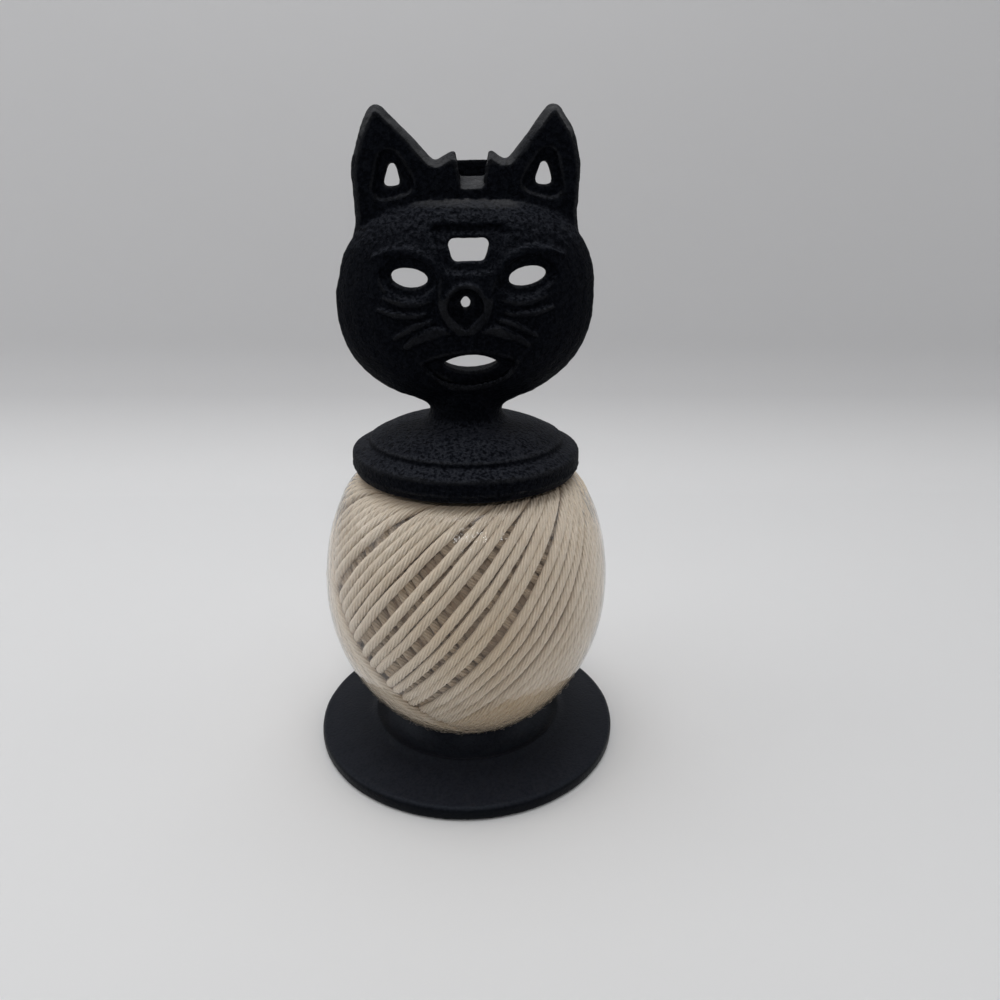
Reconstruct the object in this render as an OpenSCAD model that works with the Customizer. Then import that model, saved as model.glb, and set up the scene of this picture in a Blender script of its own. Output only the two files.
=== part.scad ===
// Twine holder: a round iron foot with a spindle, a ball of cotton twine that turns on the spindle, and an iron top,
// cast in one with a cat's head, that drops over the spindle's upper end.
// Millimetres. Z is up, the origin is the centre of the foot's underside, and the face looks along -Y.

/* [Foot] */
// Diameter of the foot
foot_d = 88; // [84:1:110]
// Height of the foot's rim
foot_rim_h = 4; // [3:0.5:6]
// Width of the ring that the foot stands on
foot_ring_w = 4; // [3:0.5:8]
// Rise of the foot's slope from the rim to the hub
foot_slope = 2; // [1:0.5:3]
// Thickness of the foot's casting
foot_wall = 4; // [3:0.25:5]
// Diameter at which the hub starts to rise
hub_root_d = 54; // [50:1:60]
// Diameter of the hub's seat
hub_d = 40; // [36:1:46]
// Height of the hub's seat above the table
hub_h = 9.5; // [9.5:0.5:14]

/* [Spindle] */
// Diameter of the spindle
spindle_d = 8; // [7:0.5:10]
// Diameter of the spindle's tenon through the foot
tenon_d = 6; // [5:0.5:6.5]
// Diameter of the washer
washer_d = 12; // [10:0.5:16]
// Thickness of the washer
washer_t = 1.2; // [0.8:0.1:1.4]
// Width of the nut across its flats
nut_flats = 10; // [9:0.5:12]
// Height of the nut
nut_h = 3.2; // [2.5:0.1:3.4]
// Length of the tenon that shows past the nut
tenon_tail = 0.6; // [0.2:0.1:0.8]

/* [Twine ball] */
// Diameter of the ball over its film
ball_d = 80; // [74:1:88]
// Height of the ball from end to end
ball_h = 73; // [68:0.2:78]
// Height of the ball's widest level above its lower end
belly_h = 39.5; // [36:0.5:42]
// Diameter of the ball's upper end
top_end_d = 60.3; // [55:0.1:65]
// Diameter of the ball's lower end
low_end_d = 39.7; // [36:0.1:48]
// Diameter of the hole that the ball was wound round
ball_bore_d = 14; // [12:0.5:20]
// Diameter of the ball's core at its ends
core_end_d = 25; // [22:0.5:27]
// Thickness of the clear film
film_t = 0.3; // [0.2:0.05:0.5]
// Diameter of the film's opening at each end
film_hole_d = 24; // [18:1:30]
// Diameter of the twine
twine_d = 2.9; // [2:0.1:3]
// Loops in the outer winding
loops = 23; // [11:2:23]
// Turns round the axis that all the loops make together
loop_turns = 14; // [13:1:16]

/* [Top disc and neck] */
// Diameter of the disc
disc_d = 61; // [57:1:70]
// Height of the disc's underside up to its parting edge
lip_h = 2.2; // [1.2:0.2:3]
// Distance that the underside draws in below the parting edge
lip_taper = 1; // [0.5:0.1:2]
// Height of the disc's rim above its parting edge
disc_rim_h = 4; // [3:0.5:6]
// Rise of the sloping band inside the rim
band_rise = 1.6; // [0.8:0.2:2.4]
// Diameter of the step round the disc's dome
step_d = 51.5; // [46:0.5:54]
// Height of the step
step_h = 1; // [0.4:0.1:1.4]
// Rise of the dome from the step to the neck's root
dome_rise = 4.4; // [3:0.2:6]
// Diameter of the neck at its waist
neck_d = 19; // [16:0.5:21]
// Height of the neck's waist above the disc's underside
neck_h = 16.4; // [15.2:0.2:18.2]
// Depth of the spindle's socket
socket_depth = 20.2; // [14:0.2:21]

/* [Face] */
// Height of the face's centre above the disc's underside
face_rise = 44.8; // [43.2:0.2:48.2]
// Width of the face
face_w = 63.8; // [60:0.4:70]
// Height from the chin to the face's centre
chin_h = 26; // [25:0.5:28]
// Height from the face's centre to the top of the brow
brow_h = 23.6; // [23:0.2:26]
// Bulge of the face in front of the ear plate
face_depth = 11; // [8:0.5:14]
// Distance that the ear plate's middle stands in front of the spindle
head_forward = 3.5; // [2:0.25:5]
// Thickness of the face's shell
shell_wall = 4; // [3:0.25:5]
// Height from the lower edge of the hollow behind the face to the face's centre
hollow_h = 18.6; // [18:0.2:20]
// Depth of the recesses round the eyes, nose, mouth and forehead
recess_d = 1.3; // [0.6:0.1:2]
// Height of the raised brows, whiskers and lips
ridge_h = 0.8; // [0.4:0.1:1.4]

/* [Ears] */
// Thickness of the plate that carries the ears
plate_t = 5; // [4:0.5:7]
// Width of the head at the waist between the cheeks and the ears
waist_w = 53.6; // [50:0.4:58]
// Distance between the ear tips
ear_span = 41.6; // [38:0.2:46]
// Height of the ear tips above the face's centre
ear_tip_h = 45.6; // [42:0.2:50]
// Height of the dips beside the ears above the face's centre
dip_h = 32; // [30:0.2:33]
// Distance between the dips
dip_span = 16.9; // [16:0.1:20]
// Height of the crown's shoulders above the face's centre
crown_h = 34.2; // [33.4:0.1:36]
// Width of the bevel along the tops of the ears
bevel_top = 2; // [1:0.1:2.4]
// Width of the bevel along the sides of the ears
bevel_side = 1; // [0.5:0.1:1.6]
// Depth of the recess in each ear
ear_recess_d = 1.4; // [0.6:0.1:2]

/* [Scissors slot] */
// Width of the crown's notch at its top
notch_top_w = 7.9; // [6:0.1:9]
// Width of the crown's notch at its floor
notch_floor_w = 5.1; // [4:0.1:6]
// Distance of the notch's middle to the right of the face's centre
notch_shift = 0.9; // [0:0.1:1.5]
// Height of the notch's front edge above the face's centre
notch_floor_h = 25.8; // [24:0.1:28]
// Rise of the notch's floor from front to back
notch_rise = 3.2; // [1:0.1:5]
// Gap between the ear plate and the strap behind it
slot_gap = 5.4; // [4.8:0.1:8]
// Thickness of the strap
strap_t = 3; // [2:0.25:4]
// Width of the strap
strap_w = 30; // [26:0.5:32]
// Width of each block that joins the strap to the plate
strap_end_w = 4; // [3:0.5:6]
// Height of the strap's lower edge above the face's centre
strap_low = 22; // [21:0.5:24]
// Height of the strap
strap_h = 10.5; // [7:0.5:11]

/* [Fits] */
// Clearance all round where one piece passes through another
fit_gap = 0.3; // [0.2:0.05:0.4]
// Clearance where the ball and the top turn or rest on what carries them
run_gap = 0.3; // [0.2:0.05:0.5]
// Clearance under the upper layer of twine where it crosses the lower
cross_gap = 1.4; // [1.3:0.1:2]
// Clearance between the ball's core and the lower layer of twine
core_gap = 0.9; // [0.8:0.05:1.2]

/* [Hidden] */
$fn = 64;

// Levels, from the table up
ball_low = hub_h + run_gap;
ball_high = ball_low + ball_h;
belly_z = ball_low + belly_h;
disc_z = ball_high + run_gap;
socket_z = disc_z + socket_depth;
neck_z = disc_z + neck_h;
face_z = disc_z + face_rise;

// Half heights of the ovals that the upper and lower parts of the ball's side follow
oval_h = (ball_h - belly_h) / sqrt(1 - pow(top_end_d / ball_d, 2));
oval_low_h = belly_h / sqrt(1 - pow(low_end_d / ball_d, 2));

// Edge roundings of the castings
edge_r = 1;
arc_steps = 6;
lens_steps = 12;

// The winding: each loop climbs on the upper layer, turns over at the ball's upper end and comes back on the lower
loop_rings = 24;
tube_sides = 6;
turn_sharpness = 0.97;
ring_crowding = 0.6;
layer_change = 0.24;
tail_rings = 1;
upper_inset = film_t + run_gap + twine_d / 2;
lower_inset = upper_inset + twine_d + cross_gap;
core_inset = lower_inset + twine_d / 2 + core_gap;
end_inset = film_t + run_gap;
wind_high = asin((ball_high - end_inset - twine_d / 2 - belly_z) / (oval_h - upper_inset));
wind_low = asin((ball_low + end_inset + twine_d / 2 - belly_z) / (oval_low_h - upper_inset));

// The face
skin_sides = 48;
skin_rings = 8;
brow_power = 2.7;
chin_power = 2.2;
swell_power = 3;
swell_edge = 0.8;
plate_front = -head_forward - plate_t / 2;
plate_back = plate_t / 2 - head_forward;
through = 60;

function unit(v) = v / norm(v);
function mix(a, b, t) = a + (b - a) * t;

// Points of an arc from angle a0 to a1
function arc(centre, r, a0, a1) =
    [for (k = [0:arc_steps]) let (a = mix(a0, a1, k / arc_steps)) centre + r * [cos(a), sin(a)]];

// The arc that rounds the corner at p, between its neighbours a and b
function corner_arc(a, p, b, r) =
    let (
        u = unit(a - p),
        v = unit(b - p),
        half = acos(u * v) / 2,
        centre = p + unit(u + v) * r / sin(half),
        first = p + u * r / tan(half) - centre,
        last = p + v * r / tan(half) - centre,
        start = atan2(first.y, first.x),
        turn = atan2(first.x * last.y - first.y * last.x, first * last)
    )
    arc(centre, r, start, start + turn);

function flat(p) = [p[0], p[1]];

// A closed outline from corners [x, y, radius]
function rounded(corners) =
    let (n = len(corners))
    [for (i = [0:n - 1])
        each corner_arc(flat(corners[(i + n - 1) % n]), flat(corners[i]), flat(corners[(i + 1) % n]), corners[i][2])];

function ellipse(w, h) = [for (a = [0:15:345]) [w / 2 * cos(a), h / 2 * sin(a)]];

// Points of an arc of width w that rises by h in its middle
function bow(w, h) =
    let (r = w * w / (8 * h) + h / 2, half = asin(w / 2 / r))
    [for (k = [0:lens_steps - 1]) let (a = mix(-half, half, k / lens_steps)) [r * sin(a), h - r * (1 - cos(a))]];

// A lens between two arcs, with its heights above and below the line between its corners
function lens(w, up, down) = concat(bow(w, up), -bow(w, down));

// A circle that runs down to a point
function teardrop(r, tip) =
    let (c = acos(r / tip))
    concat([[0, -tip]], [for (a = [-90 + c:12:270 - c]) r * [cos(a), sin(a)]]);

function bezier(p, t) =
    pow(1 - t, 3) * p[0] + 3 * t * pow(1 - t, 2) * p[1] + 3 * t * t * (1 - t) * p[2] + pow(t, 3) * p[3];
function bezier_dir(p, t) =
    unit(pow(1 - t, 2) * (p[1] - p[0]) + 2 * t * (1 - t) * (p[2] - p[1]) + t * t * (p[3] - p[2]));

// A band of width w along a curve, narrow at both ends
function ribbon(p, w) =
    let (
        n = arc_steps + 2,
        side = [for (k = [0:n]) let (d = bezier_dir(p, k / n)) (0.12 + 0.38 * sin(180 * k / n)) * w * [-d.y, d.x]]
    )
    concat(
        [for (k = [0:n]) bezier(p, k / n) + side[k]],
        [for (k = [n:-1:0]) bezier(p, k / n) - side[k]]
    );

// A solid skinned over rings of points, closed by a flat cap at each end
module loft(rings, fan = false) {
    n = len(rings[0]);
    last = (len(rings) - 1) * n;
    sides = [for (k = [0:len(rings) - 2], i = [0:n - 1])
        let (a = k * n + i, b = k * n + (i + 1) % n)
        each [[a, b + n, b], [a, a + n, b + n]]];
    caps = fan
        ? [for (i = [1:n - 2]) each [[0, i, i + 1], [last, last + i + 1, last + i]]]
        : [[for (i = [0:n - 1]) i], [for (i = [n - 1:-1:0]) last + i]];
    polyhedron([for (r = rings) each r], concat(sides, caps), convexity = 10);
}

module both_sides() {
    children();
    mirror([1, 0, 0]) children();
}

// Cuts or ridges drawn on the face, as seen from the front, and carried along Y from back to front
module across(back = through / 2, front = -through / 2) {
    translate([0, back, face_z])
        rotate([90, 0, 0])
            linear_extrude(back - front) children();
}

// Foot

module base_foot() {
    r = foot_d / 2;
    slope_top = foot_rim_h + foot_slope;
    root = hub_root_d / 2;
    seat = hub_d / 2;
    outside = concat(
        [[r - edge_r / 2, 0], [r, edge_r / 2]],
        arc([r - edge_r, foot_rim_h - edge_r], edge_r, 0, 75),
        [[root + foot_slope, slope_top - 0.2 * foot_slope], [root, slope_top + 0.1 * foot_slope]],
        [[mix(root, seat, 0.6), mix(slope_top, hub_h, 0.5)]],
        arc([seat - edge_r, hub_h - edge_r], edge_r, 40, 90)
    );
    inside = [
        [0, hub_h],
        [0, hub_h - foot_wall],
        [seat - foot_wall, hub_h - foot_wall],
        [root - foot_wall, slope_top - foot_wall],
        [r - foot_ring_w, 0]
    ];
    color("#1c1e22")
        difference() {
            rotate_extrude() polygon(concat(outside, inside));
            translate([0, 0, -through / 2]) cylinder(d = tenon_d + 2 * fit_gap, h = through);
        }
}

module spindle() {
    top = socket_z - run_gap;
    foot = hub_h - foot_wall - washer_t - nut_h - tenon_tail;
    tip = edge_r;
    color("silver") {
        translate([0, 0, hub_h]) cylinder(d = spindle_d, h = top - tip - hub_h);
        translate([0, 0, top - tip]) cylinder(d1 = spindle_d, d2 = spindle_d - 2 * tip, h = tip);
        translate([0, 0, foot]) cylinder(d = tenon_d, h = hub_h - foot);
    }
}

module spindle_washer() {
    color("silver")
        translate([0, 0, hub_h - foot_wall - washer_t])
            difference() {
                cylinder(d = washer_d, h = washer_t);
                translate([0, 0, -washer_t]) cylinder(d = tenon_d + 2 * fit_gap, h = 3 * washer_t);
            }
}

module spindle_nut() {
    color("silver")
        translate([0, 0, hub_h - foot_wall - washer_t - nut_h])
            difference() {
                cylinder(d = nut_flats / cos(30), h = nut_h, $fn = 6);
                translate([0, 0, -nut_h]) cylinder(d = tenon_d + fit_gap, h = 3 * nut_h);
            }
}

// Twine ball

// Radius of the ball's oval at height z, drawn in by an inset
function oval_half(up, inset) = (up > 0 ? oval_h : oval_low_h) - inset;
function oval_r(z, inset) =
    (ball_d / 2 - inset) * sqrt(1 - pow((z - belly_z) / oval_half(z - belly_z, inset), 2));

// The oval's side from one height to another
function oval_side(low, high, inset, steps) =
    [for (k = [0:steps]) let (z = mix(low, high, k / steps)) [oval_r(z, inset), z]];

module shrink_film() {
    hole = film_hole_d / 2;
    steps = 4 * arc_steps;
    outer = oval_side(ball_low, ball_high, 0, steps);
    inner = oval_side(ball_low + film_t, ball_high - film_t, film_t, steps);
    color([0.95, 0.95, 0.93, 0.25])
        rotate_extrude()
            polygon(concat(
                [[hole, ball_low]],
                outer,
                [[hole, ball_high], [hole, ball_high - film_t]],
                [for (k = [steps:-1:0]) inner[k]],
                [[hole, ball_low + film_t]]
            ));
}

// Distance above or below the belly at which the oval has narrowed to radius r
function oval_reach(r, up, inset) = oval_half(up, inset) * sqrt(1 - pow(r / (ball_d / 2 - inset), 2));

// The twine under the winding, with a narrower ring of it at each end
module twine_core() {
    low = ball_low + end_inset;
    high = ball_high - end_inset;
    bore = ball_bore_d / 2;
    ring = core_end_d / 2;
    side_low = max(low, belly_z - oval_reach(ring, -1, core_inset));
    side_high = min(high, belly_z + oval_reach(ring, 1, core_inset));
    color("#cdbfae")
        rotate_extrude()
            polygon(concat(
                [[bore, low], [ring, low]],
                oval_side(side_low, side_high, core_inset, 4 * arc_steps),
                [[ring, high], [bore, high]]
            ));
}

// Parts of a loop: 0 and 1 at the lower turn, a half at the upper. Rings crowd where the strand turns.
function loop_part(x) = x - ring_crowding * sin(720 * x) / (4 * PI);

// How far the strand has climbed, from -1 to 1 and back, with rounded turns
function climb(x) = asin(-turn_sharpness * cos(360 * loop_part(x))) / asin(turn_sharpness);

// 0 on the upper layer and 1 on the lower, changing over within each turn
function depth_share(x) =
    let (s = min(1, max(-1, sin(360 * loop_part(x)) / layer_change)))
    0.5 - s * (1.5 - 0.5 * s * s) / 2;

// The strand's centre line after x loops
function strand(x) =
    let (
        whole = floor(x),
        part = x - whole,
        lat = mix(wind_low, wind_high, (1 + climb(part)) / 2),
        inset = mix(upper_inset, lower_inset, depth_share(part)),
        turn = 360 * loop_turns / loops * (whole + loop_part(part)) - 90,
        r = (ball_d / 2 - inset) * cos(lat)
    )
    [r * cos(turn), r * sin(turn), belly_z + oval_half(lat, inset) * sin(lat)];

// It starts and ends on the lower layer, each end running straight for one diameter
strand_middle = [for (i = [tail_rings:loops * loop_rings - tail_rings]) strand(0.75 + i / loop_rings)];
strand_end = len(strand_middle) - 1;
function run_on(from, to) = to + twine_d * unit(to - from);
strand_line = concat(
    [run_on(strand_middle[1], strand_middle[0])],
    strand_middle,
    [run_on(strand_middle[strand_end - 1], strand_middle[strand_end])]
);
strand_last = len(strand_line) - 1;

function strand_dir(i) = unit(strand_line[min(i + 1, strand_last)] - strand_line[max(i - 1, 0)]);

// A ring of points round the strand, with one corner facing out of the ball
function strand_ring(i) =
    let (
        c = strand_line[i],
        d = strand_dir(i),
        out = c - [0, 0, belly_z],
        n = unit(out - d * (out * d)),
        b = cross(d, n)
    )
    [for (k = [0:tube_sides - 1]) let (a = 360 * k / tube_sides) c + twine_d / 2 * (cos(a) * n + sin(a) * b)];

// Distance from a point to the straight stretch between a and b
function reach(p, a, b) =
    let (ab = b - a, t = min(1, max(0, (p - a) * ab / (ab * ab))))
    norm(p - a - t * ab);

// Least gap of the strand to itself: every loop is the same, so points along one are tried against all the others
gap_points = 4;
gap_skip = 4;
gap_start = floor(loops / 2) * loop_rings;
strand_gap = min([
    for (i = [gap_start:gap_start + loop_rings - 1], k = [0:gap_points - 1], j = [0:strand_last - 1])
        if (abs(i - j) > gap_skip)
            reach(mix(strand_line[i], strand_line[i + 1], k / gap_points), strand_line[j], strand_line[j + 1])
]) - twine_d;

module twine_winding() {
    echo(least_gap_of_the_winding = strand_gap);
    color("#dccfbd") loft([for (i = [0:strand_last]) strand_ring(i)], fan = true);
}

// Top casting

// A number raised to a power, with its sign kept
function signed_pow(v, p) = sign(v) * pow(abs(v), p);

// Edge of the face, grown or drawn in all round: two half ovals, the upper one fuller than the lower
function face_edge(low, high, half_w) =
    [for (k = [0:skin_sides - 1])
        let (a = 360 * k / skin_sides, p = 2 / (sin(a) > 0 ? brow_power : chin_power), h = sin(a) > 0 ? high : low)
        [half_w * signed_pow(cos(a), p), h * signed_pow(sin(a), p)]];

// How far the face swells at a share of the way out to its edge
function swell(share) = face_depth * pow(1 - pow(share, swell_power), swell_edge);

function on_face(points, share, y) = [for (p = points) [share * p.x, y, face_z + share * p.y]];

// The swollen face, lifted off its own surface or sunk below it
module face_skin(lift) {
    edge = face_edge(chin_h + lift, brow_h + lift, face_w / 2 + lift);
    loft(concat(
        [on_face(edge, 0.97, plate_back), on_face(edge, 1, plate_back - edge_r)],
        [for (k = [0:skin_rings - 1])
            let (s = cos(90 * k / skin_rings))
            on_face(edge, s, plate_front - lift - swell(s))]
    ));
}

// The hollow behind the face
module face_hollow() {
    edge = face_edge(hollow_h, brow_h - shell_wall, face_w / 2 - shell_wall);
    loft(concat(
        [on_face(edge, 1, plate_back + shell_wall)],
        [for (k = [0:skin_rings - 1])
            let (s = cos(90 * k / skin_rings))
            on_face(edge, s, plate_front - swell(s) + shell_wall)]
    ));
}

// Where the features of the face sit, from its centre, and the width and height of each recess and hole. A lens has
// one height above its corners and one below.
eye_at = [13.95, 6.5];
eye_tilt = 8;
eye_recess = [14.6, 4.7, 4.7];
eye_hole = [9.2, 4.2];
mouth_at = [0, -13.9];
mouth_recess = [23.5, 2.8, 6.2];
mouth_hole = [13.9, 2.1, 2.2];
nostril_at = [0, 0.9];
nostril = [2.4, 3];

// The nose is a drop that runs down to a point: its radius and the depth of the point
nose_ring = [5.2, 6.9];
nose_recess = [4.2, 5.6];

// The forehead's panel and the hole in it: heights of the lower and upper edge, their widths and the corner radius
forehead_recess = [7.5, 18, 11, 17.8, 1.2];
forehead_hole = [9.9, 15.2, 7.7, 10.8, 1.6];

// Lines of the right half's ridges, each with its width: the brow over the eye, its end beside the nose, the lower
// eyelid, two whiskers, the puff of the muzzle and the lower lip
ridge_lines = [
    [[[23, 11], [12, 16], [6.6, 9], [5.6, 2.5]], 2.2],
    [[[6.4, 5], [5.8, 0], [5.4, -3.5], [0.9, -7]], 1.6],
    [[[8.2, 1.4], [12, -0.2], [16, 0.2], [20, 2.4]], 1.3],
    [[[9.2, -1.6], [13, -2.6], [17, -2.2], [21.2, -0.4]], 1.3],
    [[[7.6, -3.4], [11, -4], [14, -5.6], [17.4, -7.6]], 1.3],
    [[[3.6, -6.2], [6.5, -5], [11, -6.6], [15, -9.6]], 2.6],
    [[[12, -13.4], [8.6, -17.6], [4, -19.3], [-1, -19.3]], 1.7]
];

module forehead_shape(panel) {
    low_half = panel[2] / 2;
    high_half = panel[3] / 2;
    r = panel[4];
    polygon(rounded([
        [-low_half, panel[0], r],
        [low_half, panel[0], r],
        [high_half, panel[1], r],
        [-high_half, panel[1], r]
    ]));
}

module lens_shape(size) {
    polygon(lens(size[0], size[1], size[2]));
}

module at_eyes() {
    both_sides() translate(eye_at) rotate(eye_tilt) children();
}

module recess_shapes() {
    at_eyes() lens_shape(eye_recess);
    polygon(teardrop(nose_recess[0], nose_recess[1]));
    translate(mouth_at) lens_shape(mouth_recess);
    forehead_shape(forehead_recess);
}

module hole_shapes() {
    at_eyes() polygon(ellipse(eye_hole[0], eye_hole[1]));
    translate(nostril_at) polygon(ellipse(nostril[0], nostril[1]));
    translate(mouth_at) lens_shape(mouth_hole);
    forehead_shape(forehead_hole);
}

module ridge_shapes() {
    both_sides()
        for (line = ridge_lines) polygon(ribbon(line[0], line[1]));
    polygon(teardrop(nose_ring[0], nose_ring[1]));
}

// Corners [x, z, radius] of one side of the ear plate, from the cheek up to the crown. The notch sits off the middle,
// so the crown's shoulders are given the side that they are on.
function ear_corners(side) = [
    [face_w / 2 - edge_r, -5, edge_r],
    [face_w / 2 - 0.2, 5.4, 22],
    [waist_w / 2, 18.2, 12],
    [waist_w / 2 + 0.8, dip_h - 0.8, 16],
    [ear_span / 2 + 4.4, ear_tip_h - 7.2, 10],
    [ear_span / 2, ear_tip_h, 2.2],
    [dip_span / 2 + side * notch_shift / 2, dip_h, 1.5],
    [notch_top_w / 2 + 0.9 + side * notch_shift, crown_h, 1.2]
];

function ear_outline() =
    let (left = ear_corners(-1))
    concat(ear_corners(1), [for (k = [len(left) - 1:-1:0]) [-left[k][0], left[k][1], left[k][2]]]);

// Bevel width along the edge from a to b: widest where the edge faces up
function bevel_at(a, b) = mix(bevel_side, bevel_top, max(0, unit(a - b).x));

// A corner moved in by the bevels of its two edges, with its radius to suit
function bevel_corner(a, p, b) =
    let (
        u = unit(flat(p) - flat(a)),
        v = unit(flat(b) - flat(p)),
        n = [-u.y, u.x],
        m = [-v.y, v.x],
        wn = bevel_at(flat(a), flat(p)),
        wm = bevel_at(flat(p), flat(b)),
        det = n.x * m.y - n.y * m.x,
        convex = u.x * v.y - u.y * v.x > 0,
        w = min(wn, wm)
    )
    [
        p[0] + (wn * m.y - wm * n.y) / det,
        p[1] + (wm * n.x - wn * m.x) / det,
        convex ? max(0.3, p[2] - w) : p[2] + w
    ];

function bevelled(corners) =
    let (n = len(corners))
    [for (i = [0:n - 1]) bevel_corner(corners[(i + n - 1) % n], corners[i], corners[(i + 1) % n])];

module ear_plate() {
    outline = ear_outline();
    edge = rounded(outline);
    face = rounded(bevelled(outline));
    loft([
        on_face(edge, 1, plate_back),
        on_face(edge, 1, plate_front + bevel_top),
        on_face(face, 1, plate_front)
    ]);
}

// The pocket in the right ear and the hole through it: corners [x, z, radius] from the ear's tip
ear_pocket = [[-1.2, -7.6, 2.4], [-9.4, -20, 2.4], [2.5, -23, 2.4]];
ear_hole = [[-2.8, -11.4, 1], [-5.2, -18.7, 1], [-0.3, -19.1, 1]];

module in_ears(corners) {
    both_sides() translate([ear_span / 2, ear_tip_h]) polygon(rounded(corners));
}

// The notch in the crown, with drafted sides and a floor that rises to the back
module crown_notch() {
    rise = crown_h - notch_floor_h + edge_r;
    top_w = mix(notch_floor_w, notch_top_w, rise / (crown_h - notch_floor_h));
    intersection() {
        across(plate_back, plate_front - through)
            translate([notch_shift, 0]) polygon([
                [-notch_floor_w / 2, notch_floor_h],
                [notch_floor_w / 2, notch_floor_h],
                [top_w / 2, notch_floor_h + rise],
                [-top_w / 2, notch_floor_h + rise]
            ]);
        translate([-through / 2, 0, face_z])
            rotate([90, 0, 90])
                linear_extrude(through)
                    polygon([
                        [plate_front - plate_t, notch_floor_h - notch_rise],
                        [plate_back + plate_t, notch_floor_h + 2 * notch_rise],
                        [plate_back + plate_t, crown_h + through],
                        [plate_front - plate_t, crown_h + through]
                    ]);
    }
}

// The strap across the back of the crown, which holds a pair of scissors
module scissors_strap() {
    half = strap_w / 2;
    inner = half - strap_end_w;
    slot_back = plate_back + slot_gap;
    back = slot_back + strap_t;
    front = plate_back - edge_r;
    translate([0, 0, face_z + strap_low])
        linear_extrude(strap_h)
            difference() {
                polygon(rounded([
                    [half, front, edge_r / 4],
                    [half, back, strap_t],
                    [-half, back, strap_t],
                    [-half, front, edge_r / 4]
                ]));
                polygon(rounded([
                    [inner, front - plate_t, edge_r],
                    [inner, slot_back, edge_r],
                    [-inner, slot_back, edge_r],
                    [-inner, front - plate_t, edge_r]
                ]));
            }
}

// Disc, neck and the boss round the socket, in one revolved profile
module disc_and_neck() {
    r = disc_d / 2;
    step = step_d / 2;
    neck = neck_d / 2;
    part_z = disc_z + lip_h;
    rim_top = part_z + disc_rim_h;
    step_z = rim_top + band_rise;
    dome_z = step_z + step_h;
    root_z = dome_z + dome_rise;
    fillet = neck_z - root_z;
    chin_z = face_z - chin_h;
    boss_r = neck + edge_r;
    boss_z = chin_z + edge_r;
    rotate_extrude()
        polygon(concat(
            [[0, disc_z], [r - lip_taper, disc_z], [r, part_z]],
            arc([r - edge_r, rim_top - edge_r], edge_r, 0, 70),
            [[step + step_h / 2, step_z], [step, dome_z - step_h / 4]],
            [for (k = [1:arc_steps])
                let (t = k / arc_steps)
                [mix(step, neck + fillet, t), mix(dome_z, root_z, t) + 0.9 * sin(180 * t)]],
            arc([neck + fillet, neck_z], fillet, 255, 180),
            [[neck + 0.3, mix(neck_z, boss_z, 0.5)], [boss_r, boss_z]],
            [for (a = [20:20:80]) [boss_r * cos(a), boss_z + boss_r * 0.6 * sin(a)]],
            [[0, boss_z + boss_r * 0.6]]
        ));
}

// Rings of the flare that carries the jaw into the neck, from the neck's waist up: the height of each, its growth to
// the sides and its loss at the back
jaw_rings = [[-1, 0, 0], [0.5, 0.1, 0.1], [1.6, 0.7, 1], [2.5, 2.1, 3], [3.4, 4.4, 6], [4.5, 6.4, 8], [6, 8.3, 9]];

module jaw_flare() {
    neck = neck_d / 2;
    loft([for (ring = jaw_rings)
        [for (a = [0:15:345])
            [(neck + ring[1]) * cos(a), (neck - (a < 180 ? ring[2] : 0)) * sin(a), neck_z + ring[0]]]]);
}

// Face, ears and strap, drawn as one sculpted form at the face's width
module head_sculpt() {
    resize([face_w, 0, 0]) {
        difference() {
            union() {
                face_skin(0);
                jaw_flare();
                ear_plate();
                intersection() {
                    face_skin(ridge_h);
                    across(plate_front) ridge_shapes();
                }
            }
            difference() {
                across(plate_front) recess_shapes();
                face_skin(-recess_d);
            }
            across(plate_front + ear_recess_d) in_ears(ear_pocket);
            face_hollow();
            across() {
                hole_shapes();
                in_ears(ear_hole);
            }
            crown_notch();
        }
        scissors_strap();
    }
}

module cat_head() {
    color("#17191d")
        difference() {
            union() {
                disc_and_neck();
                head_sculpt();
            }
            translate([0, 0, disc_z - socket_depth])
                cylinder(d = spindle_d + 2 * fit_gap, h = 2 * socket_depth);
        }
}

base_foot();
spindle();
spindle_washer();
spindle_nut();
cat_head();
twine_core();
twine_winding();
shrink_film();
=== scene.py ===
"""Dressed model of a cast-iron twine holder with a cat's head.

A round foot carries a spindle, a ball of cotton twine in clear film turns on the spindle, and a top casting
with the head drops over the spindle's upper end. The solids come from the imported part. This script gives the
castings their sand-cast skin, winds the twine, wraps it in film, and sets the floor, lamps and camera.
"""

import logging
import math
import random
from dataclasses import dataclass
from enum import Enum

import bmesh
import bpy
import numpy as np
from mathutils import Matrix, Vector, noise


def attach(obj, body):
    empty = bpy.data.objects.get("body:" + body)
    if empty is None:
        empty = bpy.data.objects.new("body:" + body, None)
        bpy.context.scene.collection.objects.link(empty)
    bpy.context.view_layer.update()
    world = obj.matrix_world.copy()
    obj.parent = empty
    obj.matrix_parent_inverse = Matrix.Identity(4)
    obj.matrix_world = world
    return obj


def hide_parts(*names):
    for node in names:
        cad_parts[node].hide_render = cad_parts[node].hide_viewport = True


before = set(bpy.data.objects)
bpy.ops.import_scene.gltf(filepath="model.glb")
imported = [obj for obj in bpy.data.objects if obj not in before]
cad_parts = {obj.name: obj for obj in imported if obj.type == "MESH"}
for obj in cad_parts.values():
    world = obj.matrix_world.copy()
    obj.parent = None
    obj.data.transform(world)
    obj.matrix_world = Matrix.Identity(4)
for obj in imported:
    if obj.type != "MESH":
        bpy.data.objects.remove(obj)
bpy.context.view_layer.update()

LOG = logging.getLogger("twine_holder")
MM = 0.001
FULL_TURN = 2.0 * math.pi
GRAIN = "surface_grain"
PATCHES = "surface_patches"

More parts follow.
